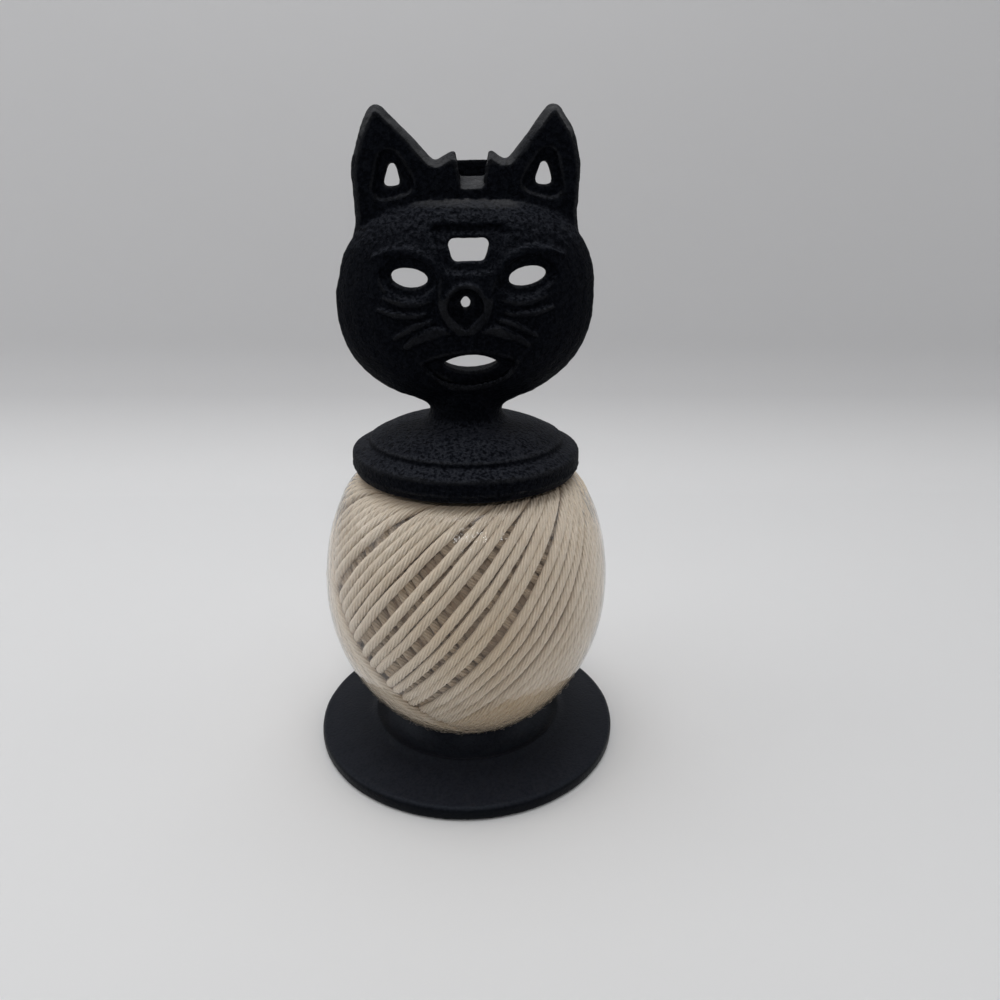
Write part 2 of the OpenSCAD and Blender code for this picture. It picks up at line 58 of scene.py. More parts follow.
Points = np.ndarray
Place = tuple[float, float, float]
Range = tuple[float, float]
Window = tuple[float, float, float, float]
Colour = tuple[float, float, float, float]
Socket = bpy.types.NodeSocket


class Body(Enum):
    """Bodies of the part that pieces ride on."""

    BASE = "base"
    BALL = "ball"
    TOP = "top"


class Slot(Enum):
    """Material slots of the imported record."""

    IRON = "iron"
    STEEL = "steel"
    TWINE = "twine"
    FILM = "film"


# Numbers over a surface


def rough(points: Points, size: float, shift: float = 0.0) -> np.ndarray:
    """Smooth noise in space, from about -1 to 1, with bumps of that size. A shift reads it elsewhere."""
    return np.array([noise.noise(p) for p in (points / size + shift).tolist()])


def wander(along: np.ndarray, often: float, row: Range) -> np.ndarray:
    """Smooth noise along a line, from about -1 to 1, that often for each unit. Each row is another noise."""
    return np.array([noise.noise((x, *row)) for x in (along * often).tolist()])


def smooth_step(low: float, high: float, values: np.ndarray) -> np.ndarray:
    """Rises smoothly from 0 where the values are at low to 1 where they are at high."""
    share = np.clip((values - low) / (high - low), 0.0, 1.0)
    return share * share * (3.0 - 2.0 * share)


def window(start: float, full: float, fading: float, end: float, values: np.ndarray) -> np.ndarray:
    """Rises smoothly from 0 at start to 1 at full, and falls again from fading to 0 at end."""
    return smooth_step(start, full, values) * smooth_step(end, fading, values)


def hump(middle: float | np.ndarray, width: float, values: np.ndarray) -> np.ndarray:
    """A smooth hump, 1 high at its middle."""
    return np.exp(-(((values - middle) / width) ** 2))


# Mesh helpers


def vectors(items: bpy.types.bpy_prop_collection, name: str) -> Points:
    """Reads a vector of each item of a mesh.

    Args:
        items: The mesh's vertices, or their normals.
        name: Name of the vector.

    Returns:
        One row of x, y and z for each item.
    """
    flat = np.empty(len(items) * 3, np.float32)
    items.foreach_get(name, flat)
    return flat.reshape(-1, 3).astype(float)


def points_of(mesh: bpy.types.Mesh) -> Points:
    """The vertices of a mesh, in metres."""
    return vectors(mesh.vertices, "co")


def normals_of(mesh: bpy.types.Mesh) -> Points:
    """The unit normals at the vertices of a mesh."""
    return vectors(mesh.vertex_normals, "vector")


def set_points(mesh: bpy.types.Mesh, points: Points) -> None:
    """Moves the vertices of a mesh to points in metres."""
    mesh.vertices.foreach_set("co", points.astype(np.float32).ravel())
    mesh.update()


def keep_values(mesh: bpy.types.Mesh, name: str, values: np.ndarray) -> None:
    """Stores one number for each vertex under a name, where a material can read it."""
    attribute = mesh.attributes.new(name, "FLOAT", "POINT")
    attribute.data.foreach_set("value", values.astype(np.float32))


def new_object(name: str, data: bpy.types.ID) -> bpy.types.Object:
    """Links a new object at the origin.

    Args:
        name: Name of the object.
        data: Its mesh, curve, lamp or camera.

    Returns:
        The object.
    """
    made = bpy.data.objects.new(name, data)
    bpy.context.scene.collection.objects.link(made)
    return made


def mesh_from(work: bmesh.types.BMesh, name: str) -> bpy.types.Mesh:
    """Turns a bmesh into a smooth-shaded mesh and frees it.

    Args:
        work: The bmesh.
        name: Name of the mesh.

    Returns:
        The mesh.
    """
    mesh = bpy.data.meshes.new(name)
    work.to_mesh(mesh)
    work.free()
    mesh.shade_smooth()
    return mesh


def evaluated_mesh(source: bpy.types.Object, name: str) -> bpy.types.Mesh:
    """Applies an object's modifiers or bevel and removes the object.

    Args:
        source: The object to evaluate.
        name: Name of the new mesh.

    Returns:
        The final mesh.
    """
    graph = bpy.context.evaluated_depsgraph_get()
    mesh = bpy.data.meshes.new_from_object(source.evaluated_get(graph))
    mesh.name = name
    bpy.data.objects.remove(source)
    return mesh


def joined(rows: Points, name: str, round_rows: bool, round_columns: bool) -> bpy.types.Mesh:
    """Joins rows of points with four-sided faces into a smooth-shaded mesh.

    Args:
        rows: Points by row and column, in metres.
        name: Name of the mesh.
        round_rows: Whether the last row joins the first.
        round_columns: Whether the last column joins the first.

    Returns:
        The mesh.
    """
    grid = np.arange(rows[..., 0].size).reshape(rows.shape[:2])
    grid = np.pad(grid, ((0, int(round_rows)), (0, int(round_columns))), "wrap")
    faces = np.stack([grid[:-1, :-1], grid[1:, :-1], grid[1:, 1:], grid[:-1, 1:]], -1)
    mesh = bpy.data.meshes.new(name)
    mesh.from_pydata(rows.reshape(-1, 3).tolist(), [], faces.reshape(-1, 4).tolist())
    mesh.shade_smooth()
    return mesh


def turned(points: list[Range], steps: int, name: str, closed: bool) -> bpy.types.Mesh:
    """Turns a half outline once round the Z axis, with its faces pointing outwards.

    Args:
        points: Radius and height of each point of the outline, in millimetres, counter-clockwise from below.
        steps: Steps in the full turn.
        name: Name of the mesh.
        closed: Whether the last point joins the first.

    Returns:
        The mesh.
    """
    turn = np.arange(steps)[:, None] * FULL_TURN / steps
    reach, height = np.array(points).T * MM
    rows = np.stack(np.broadcast_arrays(reach * np.cos(turn), reach * np.sin(turn), height), -1)
    return joined(rows, name, True, closed)


def settle(
    piece: bpy.types.Object,
    body: Body,
    material: bpy.types.Material,
    stands_for: tuple[str, ...] = (),
) -> None:
    """Gives a finished piece its material and its place on the part.

    Args:
        piece: The piece, at the origin, with its place in its mesh.
        body: The body that it rides on.
        material: Its material.
        stands_for: Solids of the part that it is shown in place of.
    """
    piece.data.materials.clear()
    piece.data.materials.append(material)
    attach(piece, body.value)
    if stands_for:
        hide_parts(*stands_for)
    LOG.info("%s rides on %s with %d faces", piece.name, body.value, len(piece.data.polygons))


# Materials


class Wiring:
    """Adds nodes to one tree and links them."""

    def __init__(self, tree: bpy.types.NodeTree) -> None:
        """Starts with the tree that the nodes go into."""
        self.tree = tree

    def node(self, kind: str, **settings: object) -> bpy.types.Node:
        """Adds a node.

        Args:
            kind: Blender's name for the node.
            settings: Properties of the node.

        Returns:
            The node.
        """
        made = self.tree.nodes.new(kind)
        for name, value in settings.items():
            setattr(made, name, value)
        return made

    def put(self, socket: Socket, value: object) -> None:
        """Links an output to a socket, or sets the socket's own value.

        Args:
            socket: The input to fill.
            value: An output, a number or a colour.
        """
        if isinstance(value, Socket):
            self.tree.links.new(value, socket)
        else:
            socket.default_value = value

    def feed(self, node: bpy.types.Node, **inputs: object) -> bpy.types.Node:
        """Sets or links several inputs of a node.

        Args:
            node: The node.
            inputs: Values by the input's name, with underscores for spaces.

        Returns:
            The same node.
        """
        for name, value in inputs.items():
            self.put(node.inputs[name.replace("_", " ")], value)
        return node

    def sum(self, operation: str, first: object, second: object = 0.0) -> Socket:
        """Works out one number from two.

        Args:
            operation: Blender's name for the operation.
            first: The first number.
            second: The second number, if the operation needs one.

        Returns:
            The result.
        """
        made = self.node("ShaderNodeMath", operation=operation)
        self.put(made.inputs[0], first)
        self.put(made.inputs[1], second)
        return made.outputs[0]

    def times(self, first: object, second: object) -> Socket:
        """Multiplies two numbers."""
        return self.sum("MULTIPLY", first, second)

    def span(self, value: Socket, low: object, high: object, to_low: float, to_high: float) -> Socket:
        """Maps the range from low to high onto another, held at both ends."""
        ends = {"From_Min": low, "From_Max": high, "To_Min": to_low, "To_Max": to_high}
        return self.feed(self.node("ShaderNodeMapRange"), Value=value, **ends).outputs[0]

    def mixed(self, share: object, first: object, second: object) -> Socket:
        """Mixes two colours.

        Args:
            share: Share of the second colour.
            first: The first colour.
            second: The second colour.

        Returns:
            The mixed colour.
        """
        made = self.node("ShaderNodeMix", data_type="RGBA")
        self.put(made.inputs[0], share)
        self.put(made.inputs[6], first)
        self.put(made.inputs[7], second)
        return made.outputs[2]

    def stretched(self, place: Socket, stretch: Place) -> Socket:
        """Coordinates stretched along the axes."""
        return self.feed(self.node("ShaderNodeMapping"), Vector=place, Scale=stretch).outputs[0]

    def object_place(self, stretch: Place = (1.0, 1.0, 1.0)) -> Socket:
        """Object coordinates, stretched along the axes."""
        return self.stretched(self.node("ShaderNodeTexCoord").outputs["Object"], stretch)

    def axis(self, place: Socket, which: int) -> Socket:
        """One axis of a vector, counted from 0 for x."""
        return self.feed(self.node("ShaderNodeSeparateXYZ"), Vector=place).outputs[which]

    def noise(self, place: Socket, scale: object, detail: float, coarse: float) -> Socket:
        """Noise from 0 to 1.

        Args:
            place: Coordinates that it is read at.
            scale: Bumps for each unit of the coordinates.
            detail: Finer layers that are added.
            coarse: Strength of the finer layers.

        Returns:
            The noise's height.
        """
        made = self.node("ShaderNodeTexNoise")
        return self.feed(made, Vector=place, Scale=scale, Detail=detail, Roughness=coarse).outputs["Fac"]


def new_group(
    name: str, inputs: dict[str, float], outputs: tuple[str, ...]
) -> tuple[Wiring, bpy.types.Node, bpy.types.Node]:
    """Starts a shared node group of numbers.

    Args:
        name: Name of the group.
        inputs: Names of its inputs, with the values that they start with.
        outputs: Names of its outputs.

    Returns:
        The group's wiring, its input node and its output node.
    """
    tree = bpy.data.node_groups.new(name, "ShaderNodeTree")
    for label, value in inputs.items():
        tree.interface.new_socket(label, in_out="INPUT", socket_type="NodeSocketFloat").default_value = value
    for label in outputs:
        tree.interface.new_socket(label, in_out="OUTPUT", socket_type="NodeSocketFloat")
    wiring = Wiring(tree)
    return wiring, wiring.node("NodeGroupInput"), wiring.node("NodeGroupOutput")


def make_grain() -> None:
    """Makes the shared grain, fine with broader pits: Height for a bump, Tone for roughness and colour."""
    inputs = {"Fine": 2200.0, "Broad": 600.0, "Pits": 0.5}
    wiring, given, result = new_group(GRAIN, inputs, ("Height", "Tone"))
    place = wiring.object_place()
    fine = wiring.noise(place, given.outputs["Fine"], detail=3.0, coarse=0.6)
    broad = wiring.noise(place, given.outputs["Broad"], detail=2.0, coarse=0.5)
    pits = wiring.times(wiring.span(broad, 0.3, 0.5, -1.0, 0.0), given.outputs["Pits"])
    height = wiring.sum("ADD", wiring.sum("ADD", fine, pits), wiring.times(broad, 0.8))
    wiring.feed(result, Height=height, Tone=wiring.span(broad, 0.3, 0.7, 0.0, 1.0))


def make_patches() -> None:
    """Makes the shared patches, from 0 to 1, for stains and for wear that comes and goes."""
    inputs = {"Scale": 60.0, "Cover": 0.5, "Edge": 0.15}
    wiring, given, result = new_group(PATCHES, inputs, ("Patch",))
    height = wiring.noise(wiring.object_place(), given.outputs["Scale"], detail=4.0, coarse=0.6)
    start = wiring.sum("SUBTRACT", 1.0, given.outputs["Cover"])
    end = wiring.sum("ADD", start, given.outputs["Edge"])
    wiring.feed(result, Patch=wiring.span(height, start, end, 0.0, 1.0))


class Finish:
    """A material with one Principled shader."""

    def __init__(self, name: str) -> None:
        """Makes an empty material.

        Args:
            name: Name of the material.
        """
        self.material = bpy.data.materials.new(name)
        self.material.use_nodes = True
        self.wiring = Wiring(self.material.node_tree)
        self.shader = self.material.node_tree.nodes["Principled BSDF"]

    def group(self, name: str, **inputs: float) -> bpy.types.Node:
        """Places a shared group with its own values."""
        made = self.wiring.node("ShaderNodeGroup", node_tree=bpy.data.node_groups[name])
        return self.wiring.feed(made, **inputs)

    def patch(self, scale: float, cover: float, edge: float) -> Socket:
        """Places the patches: how fine they are, how much they cover and how soft their edges are."""
        return self.group(PATCHES, Scale=scale, Cover=cover, Edge=edge).outputs["Patch"]

    def attribute(self, name: str) -> Socket:
        """A number that the mesh keeps for each vertex."""
        return self.wiring.node("ShaderNodeAttribute", attribute_name=name).outputs["Fac"]

    def set(self, **inputs: object) -> None:
        """Sets or links inputs of the shader."""
        self.wiring.feed(self.shader, **inputs)

    def bump(self, height: Socket, depth: float) -> None:
        """Gives the surface a relief that is that deep, in metres, where the height is 1."""
        relief = {"Height": height, "Distance": depth, "Strength": 1.0}
        self.set(Normal=self.wiring.feed(self.wiring.node("ShaderNodeBump"), **relief).outputs[0])


@dataclass(frozen=True)
class IronFinish:
    """Black satin paint on sand-cast iron. Dust and a painted top light lighten its upper faces.

    Its edges are worn grey, which on the head also paints highlights on its crests and crown slopes.
    Grains and pits start to show and are full at two heights of the grain.
    Dust and its painted top light start and are full at two upward slopes, and grain specks show most
    under the painted top light.
    """

    name: str
    gloss: float
    roughness: Range
    paint: Colour = (0.0009, 0.0012, 0.0024, 1.0)
    paint_worn: Colour = (0.0024, 0.0030, 0.0052, 1.0)
    # Grey of worn iron; on the head it is also the colour of painted highlights.
    bare: Colour = (0.095, 0.096, 0.1, 1.0)
    # Dust and painted top light: upper faces lighter, as dust and light from above make them.
    dust_and_top_light: Colour = (0.0152, 0.0170, 0.0232, 1.0)
    sheen: Colour = (0.78, 0.88, 1.0, 1.0)
    speck: Colour = (0.034, 0.036, 0.043, 1.0)
    grains: Range = (0.86, 1.05)
    grains_most: float = 0.75
    grains_least: float = 0.14
    pits: Range = (0.72, 0.56)
    pits_most: float = 0.85
    dust_and_light_slopes: Range = (0.33, 0.95)
    dust_and_light_most: float = 0.77
    wear_from: float = 0.2
    wear_most: float = 0.8
    wear_kept: float = 0.35
    grain_depth: float = 0.22 * MM

    def make(self) -> bpy.types.Material:
        """Builds the material.

        Returns:
            The material.
        """
        finish = Finish(self.name)
        wiring = finish.wiring
        skin = finish.group(GRAIN, Fine=2700.0, Broad=1250.0, Pits=0.55)
        height, tone = skin.outputs["Height"], skin.outputs["Tone"]
        sand = finish.attribute("sand")
        upward = wiring.axis(wiring.node("ShaderNodeNewGeometry").outputs["Normal"], 2)
        # Upward faces take dust and a painted top light, more the more they face up.
        dust_and_top_light_share = wiring.span(upward, *self.dust_and_light_slopes, 0.0, self.dust_and_light_most)
        # Grain specks show more where the painted top light is.
        shown = wiring.times(wiring.sum("ADD", dust_and_top_light_share, self.grains_least), sand)
        grains = wiring.times(wiring.span(height, *self.grains, 0.0, self.grains_most), shown)
        pits = wiring.times(wiring.span(height, *self.pits, 0.0, self.pits_most), sand)
        painted = wiring.mixed(tone, self.paint, self.paint_worn)
        dusted_and_lit = wiring.mixed(dust_and_top_light_share, painted, self.dust_and_top_light)
        pitted = wiring.mixed(pits, wiring.mixed(grains, dusted_and_lit, self.speck), self.paint)
        # Rubbed grey edges, and on the head painted highlights on its crests and crown slopes.
        patchy = wiring.span(finish.patch(scale=160.0, cover=0.62, edge=0.3), 0.0, 1.0, self.wear_kept, 1.0)
        rubbed_and_lit = wiring.times(wiring.span(finish.attribute("wear_and_highlight"), self.wear_from, 1.0, 0.0, 1.0), patchy)
        finish.set(
            Base_Color=wiring.mixed(wiring.times(rubbed_and_lit, self.wear_most), pitted, self.bare),
            Roughness=wiring.span(tone, 0.0, 1.0, *self.roughness),
            Specular_IOR_Level=self.gloss,
            Specular_Tint=self.sheen,
        )
        finish.bump(wiring.times(height, sand), self.grain_depth)
        return finish.material


@dataclass(frozen=True)
class SteelFinish:
    """Turned steel with fine rings of tool marks."""

    metal: Colour = (0.50, 0.49, 0.47, 1.0)
    dull: Colour = (0.33, 0.32, 0.31, 1.0)
    roughness: Range = (0.28, 0.44)
    marks: Place = (120.0, 120.0, 6000.0)
    mark_depth: float = 0.02 * MM

    def make(self) -> bpy.types.Material:
        """Builds the material.

        Returns:
            The material.
        """
        finish = Finish("turned_steel")
        wiring = finish.wiring
        tone = finish.group(GRAIN, Fine=3000.0, Broad=900.0, Pits=0.2).outputs["Tone"]
        finish.set(
            Base_Color=wiring.mixed(finish.patch(scale=220.0, cover=0.5, edge=0.3), self.metal, self.dull),
            Metallic=1.0,
            Roughness=wiring.span(tone, 0.0, 1.0, *self.roughness),
        )
        marks = wiring.noise(wiring.object_place(self.marks), scale=1.0, detail=2.0, coarse=0.6)
        finish.bump(marks, self.mark_depth)
        return finish.material


@dataclass(frozen=True)
class TwineFinish:
    """Unbleached cotton: pale yarn, browner in patches and where it is bare at the ball's lower end.

    Along is how many fibre streaks lie along a piece's UV map. Shade is the share of the deeper colour
    that is always there, which paints shade on the heart under the outer layers. Painted shade also darkens
    the grooves between the plies, the sides of the strands and the deep gaps; the side and gap shade
    start and are full at two depths under the ball's surface, in millimetres.
    """

    name: str
    along: float
    shade: float
    plies: float
    pale: Colour = (0.83, 0.725, 0.585, 1.0)
    deep: Colour = (0.62, 0.475, 0.325, 1.0)
    stain: Colour = (0.64, 0.485, 0.31, 1.0)
    grey: Colour = (0.76, 0.74, 0.72, 1.0)
    # Painted shade in the deep gaps under the outer strands, and on the heart.
    hollow: Colour = (0.60, 0.45, 0.33, 1.0)
    # Painted shade for the grooves between the plies and the sides of the strands.
    line: Colour = (0.40, 0.28, 0.175, 1.0)
    fibres: Range = (0.34, 0.66)
    fibre_shades: Range = (0.65, -0.25)
    fibre_depth: float = 0.18 * MM
    streaks_round: float = 44.0
    drift_most: float = 0.4
    ply_shade_width: float = 0.7
    ply_shade_most: float = 0.8
    ply_shade_kept: float = 0.4
    browning: Range = (0.1, 0.8)
    uneven: Range = (0.4, 0.9)
    grey_most: float = 0.14
    flank_shade_depths: Range = (1.15, 2.3)
    flank_shade_most: float = 0.5
    buried_shade: Range = (2.6, 5.0)
    buried_shade_most: float = 0.7

    def make(self) -> bpy.types.Material:
        """Builds the material.

        Returns:
            The material.
        """
        finish = Finish(self.name)
        wiring = finish.wiring
        place = wiring.node("ShaderNodeUVMap").outputs[0]
        streaks = wiring.stretched(place, (self.along, self.streaks_round, 1.0))
        fibres = wiring.noise(streaks, scale=1.0, detail=3.0, coarse=0.65)
        drift = wiring.times(finish.patch(scale=90.0, cover=0.55, edge=0.35), self.drift_most)
        deep = wiring.sum("ADD", drift, wiring.span(fibres, *self.fibres, *self.fibre_shades))
        yarn = wiring.mixed(wiring.sum("ADD", deep, self.shade), self.pale, self.deep)
        # Painted shade along the grooves between the plies, patchy in strength.
        crest = wiring.sum("COSINE", wiring.times(wiring.axis(place, 1), math.pi * self.plies))
        groove = wiring.span(wiring.sum("ABSOLUTE", crest), 0.0, self.ply_shade_width, self.ply_shade_most, 0.0)
        tight = wiring.span(finish.patch(scale=420.0, cover=0.6, edge=0.4), 0.0, 1.0, self.ply_shade_kept, 1.0)
        laid = wiring.mixed(wiring.times(groove, tight), yarn, self.line)
        brown = finish.attribute("brown")
        uneven = wiring.span(finish.patch(scale=38.0, cover=0.5, edge=0.25), 0.0, 1.0, *self.uneven)
        browning = wiring.times(wiring.span(brown, 0.0, 1.0, *self.browning), uneven)
        browned = wiring.mixed(browning, laid, self.stain)
        greyed = wiring.mixed(wiring.span(brown, 0.0, 1.0, self.grey_most, 0.0), browned, self.grey)
        inset = finish.attribute("inset")
        # Painted shade on the sides of the strands, where they dip between their neighbours.
        shaded = wiring.mixed(wiring.span(inset, *self.flank_shade_depths, 0.0, self.flank_shade_most), greyed, self.line)
        # Painted shade in the deep gaps, more the deeper the yarn lies.
        buried_shade = wiring.span(inset, *self.buried_shade, 0.0, self.buried_shade_most)
        finish.set(
            Base_Color=wiring.mixed(buried_shade, shaded, self.hollow),
            Roughness=0.92,
            Specular_IOR_Level=0.2,
            Sheen_Weight=0.25,
            Sheen_Roughness=0.5,
        )
        finish.bump(fibres, self.fibre_depth)
        return finish.material


@dataclass(frozen=True)
class FilmFinish:
    """Clear shrink film, smooth where it is stretched and dull where it is creased."""

    tint: Colour = (0.985, 0.98, 0.97, 1.0)
    roughness: Range = (0.06, 0.2)
    ripples: float = 380.0
    ripple_stretch: Place = (1.0, 1.0, 0.6)
    ripple_depth: float = 0.6 * MM
    ripple_least: float = 0.25

    def make(self) -> bpy.types.Material:
        """Builds the material.

        Returns:
            The material.
        """
        finish = Finish("clear_film")
        wiring = finish.wiring
        crease = finish.attribute("crease")
        dull = wiring.times(crease, finish.patch(scale=300.0, cover=0.5, edge=0.2))
        path = wiring.node("ShaderNodeLightPath").outputs
        lets_light_by = wiring.sum("MAXIMUM", path["Is Shadow Ray"], path["Is Diffuse Ray"])
        finish.set(
            Base_Color=self.tint,
            Roughness=wiring.span(dull, 0.0, 1.0, *self.roughness),
            IOR=1.27,
            Transmission_Weight=1.0,
            Alpha=wiring.sum("SUBTRACT", 1.0, lets_light_by),
        )
        pull = wiring.noise(wiring.object_place(self.ripple_stretch), self.ripples, detail=2.0, coarse=0.5)
        height = wiring.times(pull, wiring.span(crease, 0.0, 1.0, self.ripple_least, 1.0))
        finish.bump(height, self.ripple_depth)
        return finish.material


# Castings


@dataclass(frozen=True)
class CastSkin:
    """How evenly a casting came out of the sand. Sizes are in metres.

    The kept share is how much of the even mesh is left after thinning.
    """

    voxel: float
    passes: int
    swell: float = 0.10 * MM
    swell_size: float = 7.0 * MM
    lump: float = 0.07 * MM
    lump_size: float = 1.1 * MM
    sand: float = 1.0
    kept_share: float = 1.0


class Neighbours:
    """The vertices that each vertex of a mesh shares an edge with."""

    def __init__(self, mesh: bpy.types.Mesh) -> None:
        """Reads the edges.

        Args:
            mesh: The mesh.
        """
        ends = np.empty(len(mesh.edges) * 2, np.int32)
        mesh.edges.foreach_get("vertices", ends)
        self.first, self.second = ends.reshape(-1, 2).T
        self.size = len(mesh.vertices)
        self.count = np.bincount(ends, minlength=self.size)[:, None]

    def eased(self, points: Points, passes: int) -> Points:
        """Takes the middle of each vertex's neighbours, several times over.

        Args:
            points: One row of x, y and z for each vertex.
            passes: How often.

        Returns:
            The last middle for each vertex.
        """
        for _ in range(passes):
            total = [
                np.bincount(self.first, points[self.second, axis], self.size)
                + np.bincount(self.second, points[self.first, axis], self.size)
                for axis in range(3)
            ]
            points = np.stack(total, 1) / self.count
        return points


@dataclass(frozen=True)
class Casting:
    """A cast piece: the solid of a node, softened and roughened as sand leaves it."""

    node: str
    name: str
    body: Body
    skin: CastSkin
    wear_reach: tuple[int, int] = (2, 10)
    wear_full: float = 0.1 * MM
    wear_most: float = 0.3
    relief_reach: int = 40
    relief_most: float = 0.7 * MM
    relief_ease: int = 3

    def even_mesh(self) -> bpy.types.Mesh:
        """Remeshes a copy of the solid evenly.

        Returns:
            The new mesh.
        """
        work = bmesh.new()
        work.from_mesh(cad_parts[self.node].data)
        bmesh.ops.remove_doubles(work, verts=work.verts[:], dist=0.002 * MM)
        source = new_object(self.name + "_source", mesh_from(work, self.name + "_source"))
        remesh = source.modifiers.new("even", "REMESH")
        remesh.mode = "VOXEL"
        remesh.voxel_size = self.skin.voxel
        mesh = evaluated_mesh(source, self.name)
        mesh.shade_smooth()
        return mesh

    def soften(self, mesh: bpy.types.Mesh) -> None:
        """Rounds the edges of the even mesh and deepens its relief.

        Args:
            mesh: The mesh.
        """
        neighbours = Neighbours(mesh)
        points = points_of(mesh)
        passes = self.passes(points)
        for k in range(math.ceil(passes.max())):
            share = 0.5 * np.clip(passes - k, 0.0, 1.0)[:, None]
            points = points + share * (neighbours.eased(points, 1) - points)
        set_points(mesh, points)
        relief = self.relief(points)
        if relief.any():
            normals = normals_of(mesh)
            proud = ((points - neighbours.eased(points, self.relief_reach)) * normals).sum(1)
            moved = normals * (relief * np.clip(proud, -self.relief_most, self.relief_most))[:, None]
            set_points(mesh, points + neighbours.eased(moved, self.relief_ease))

    def passes(self, points: Points) -> np.ndarray:
        """How often each place is softened; the plain casting is the same all over."""
        return np.full(len(points), float(self.skin.passes))

    def relief(self, points: Points) -> np.ndarray:
        """How much the relief of each place is deepened; the plain casting's is left as it is."""
        return np.zeros(len(points))

    def reshaped(self, points: Points) -> Points:
        """Moves whole regions, where the casting isn't true; the plain casting is."""
        return points

    def lift(self, points: Points, normals: Points) -> np.ndarray:
        """How far the skin stands off the softened solid at each vertex, in metres."""
        swell = self.skin.swell * rough(points, self.skin.swell_size)
        return swell + self.skin.lump * rough(points, self.skin.lump_size, 7.3)

    def wear_and_highlight(self, mesh: bpy.types.Mesh) -> np.ndarray:
        """How far each vertex stands out of its surroundings, which is where hands rub.

        Args:
            mesh: The casting's mesh.

        Returns:
            One number for each vertex: 0 where it is flat or hollow, and most on a sharp edge.
        """
        neighbours = Neighbours(mesh)
        near, far = self.wear_reach
        close = neighbours.eased(points_of(mesh), near)
        proud = ((close - neighbours.eased(close, far - near)) * normals_of(mesh)).sum(1)
        return self.wear_most * np.clip(proud / self.wear_full, 0.0, 1.0)

    def build(self, material: bpy.types.Material) -> None:
        """Makes the piece and puts it on the part.

        Args:
            material: The iron's finish.
        """
        mesh = self.even_mesh()
        self.soften(mesh)
        set_points(mesh, self.reshaped(points_of(mesh)))
        points = points_of(mesh)
        normals = normals_of(mesh)
        set_points(mesh, points + normals * self.lift(points, normals)[:, None])
        # Rubbed edges, which on the head also carry painted highlights.
        keep_values(mesh, "wear_and_highlight", self.wear_and_highlight(mesh))
        keep_values(mesh, "sand", np.full(len(points), self.skin.sand))
        piece = new_object(self.name, mesh)
        if self.skin.kept_share < 1.0:
            piece.modifiers.new("thin", "DECIMATE").ratio = self.skin.kept_share
        settle(piece, self.body, material, (self.node,))


@dataclass(frozen=True)
class FootCasting(Casting):
    """The round foot, which keeps a flat underside."""

    wear_most: float = 0.12
    upper_z: Range = (3.4 * MM, 4.8 * MM)
    smooth_z: Range = (0.0, 0.6 * MM)
    hub_r: float = 20.0 * MM
    bead_r: float = 27.6 * MM
    bead_w: float = 1.5 * MM
    bead_h: float = 0.4 * MM
    flare_sag: float = 1.3 * MM

    def reshaped(self, points: Points) -> Points:
        """Keeps the foot's rim on the table, hollows the hub's flare and leaves a soft bead round its root.

        Args:
            points: Vertices of the mesh.

        Returns:
            The moved vertices.
        """
        level = points.copy()
        reach = np.hypot(points[:, 0], points[:, 1])
        flare = np.sin(math.pi * np.clip((reach - self.hub_r) / (self.bead_r - self.hub_r), 0.0, 1.0))
        rise = self.bead_h * hump(self.bead_r, self.bead_w, reach) - self.flare_sag * flare
        level[:, 2] += smooth_step(*self.upper_z, points[:, 2]) * rise
        level[:, 2] = np.maximum(level[:, 2], 0.0)
        return level

    def lift(self, points: Points, normals: Points) -> np.ndarray:
        """The skin's unevenness, with none on the face that it stands on."""
        return super().lift(points, normals) * smooth_step(*self.smooth_z, points[:, 2])


@dataclass(frozen=True)
class Hollow:
    """An oval place on the front of the head, the same on both sides. Millimetres.

    Its passes are how often it is softened, and its relief is how much deeper than the pattern it came out.
    """

    x: float
    z: float
    half_width: float
    half_height: float
    passes: float = 0.0
    relief: float = 0.0
    edge: Range = (1.1, 0.85)

    def cover(self, points: Points) -> np.ndarray:
        """Tells the place from its surroundings.

        Args:
            points: Vertices of the mesh, in metres.

        Returns:
            1 for each vertex inside the oval, 0 outside.
        """
        across = (np.abs(points[:, 0]) / MM - self.x) / self.half_width
        up = (points[:, 2] / MM - self.z) / self.half_height
        return smooth_step(*self.edge, np.hypot(across, up))


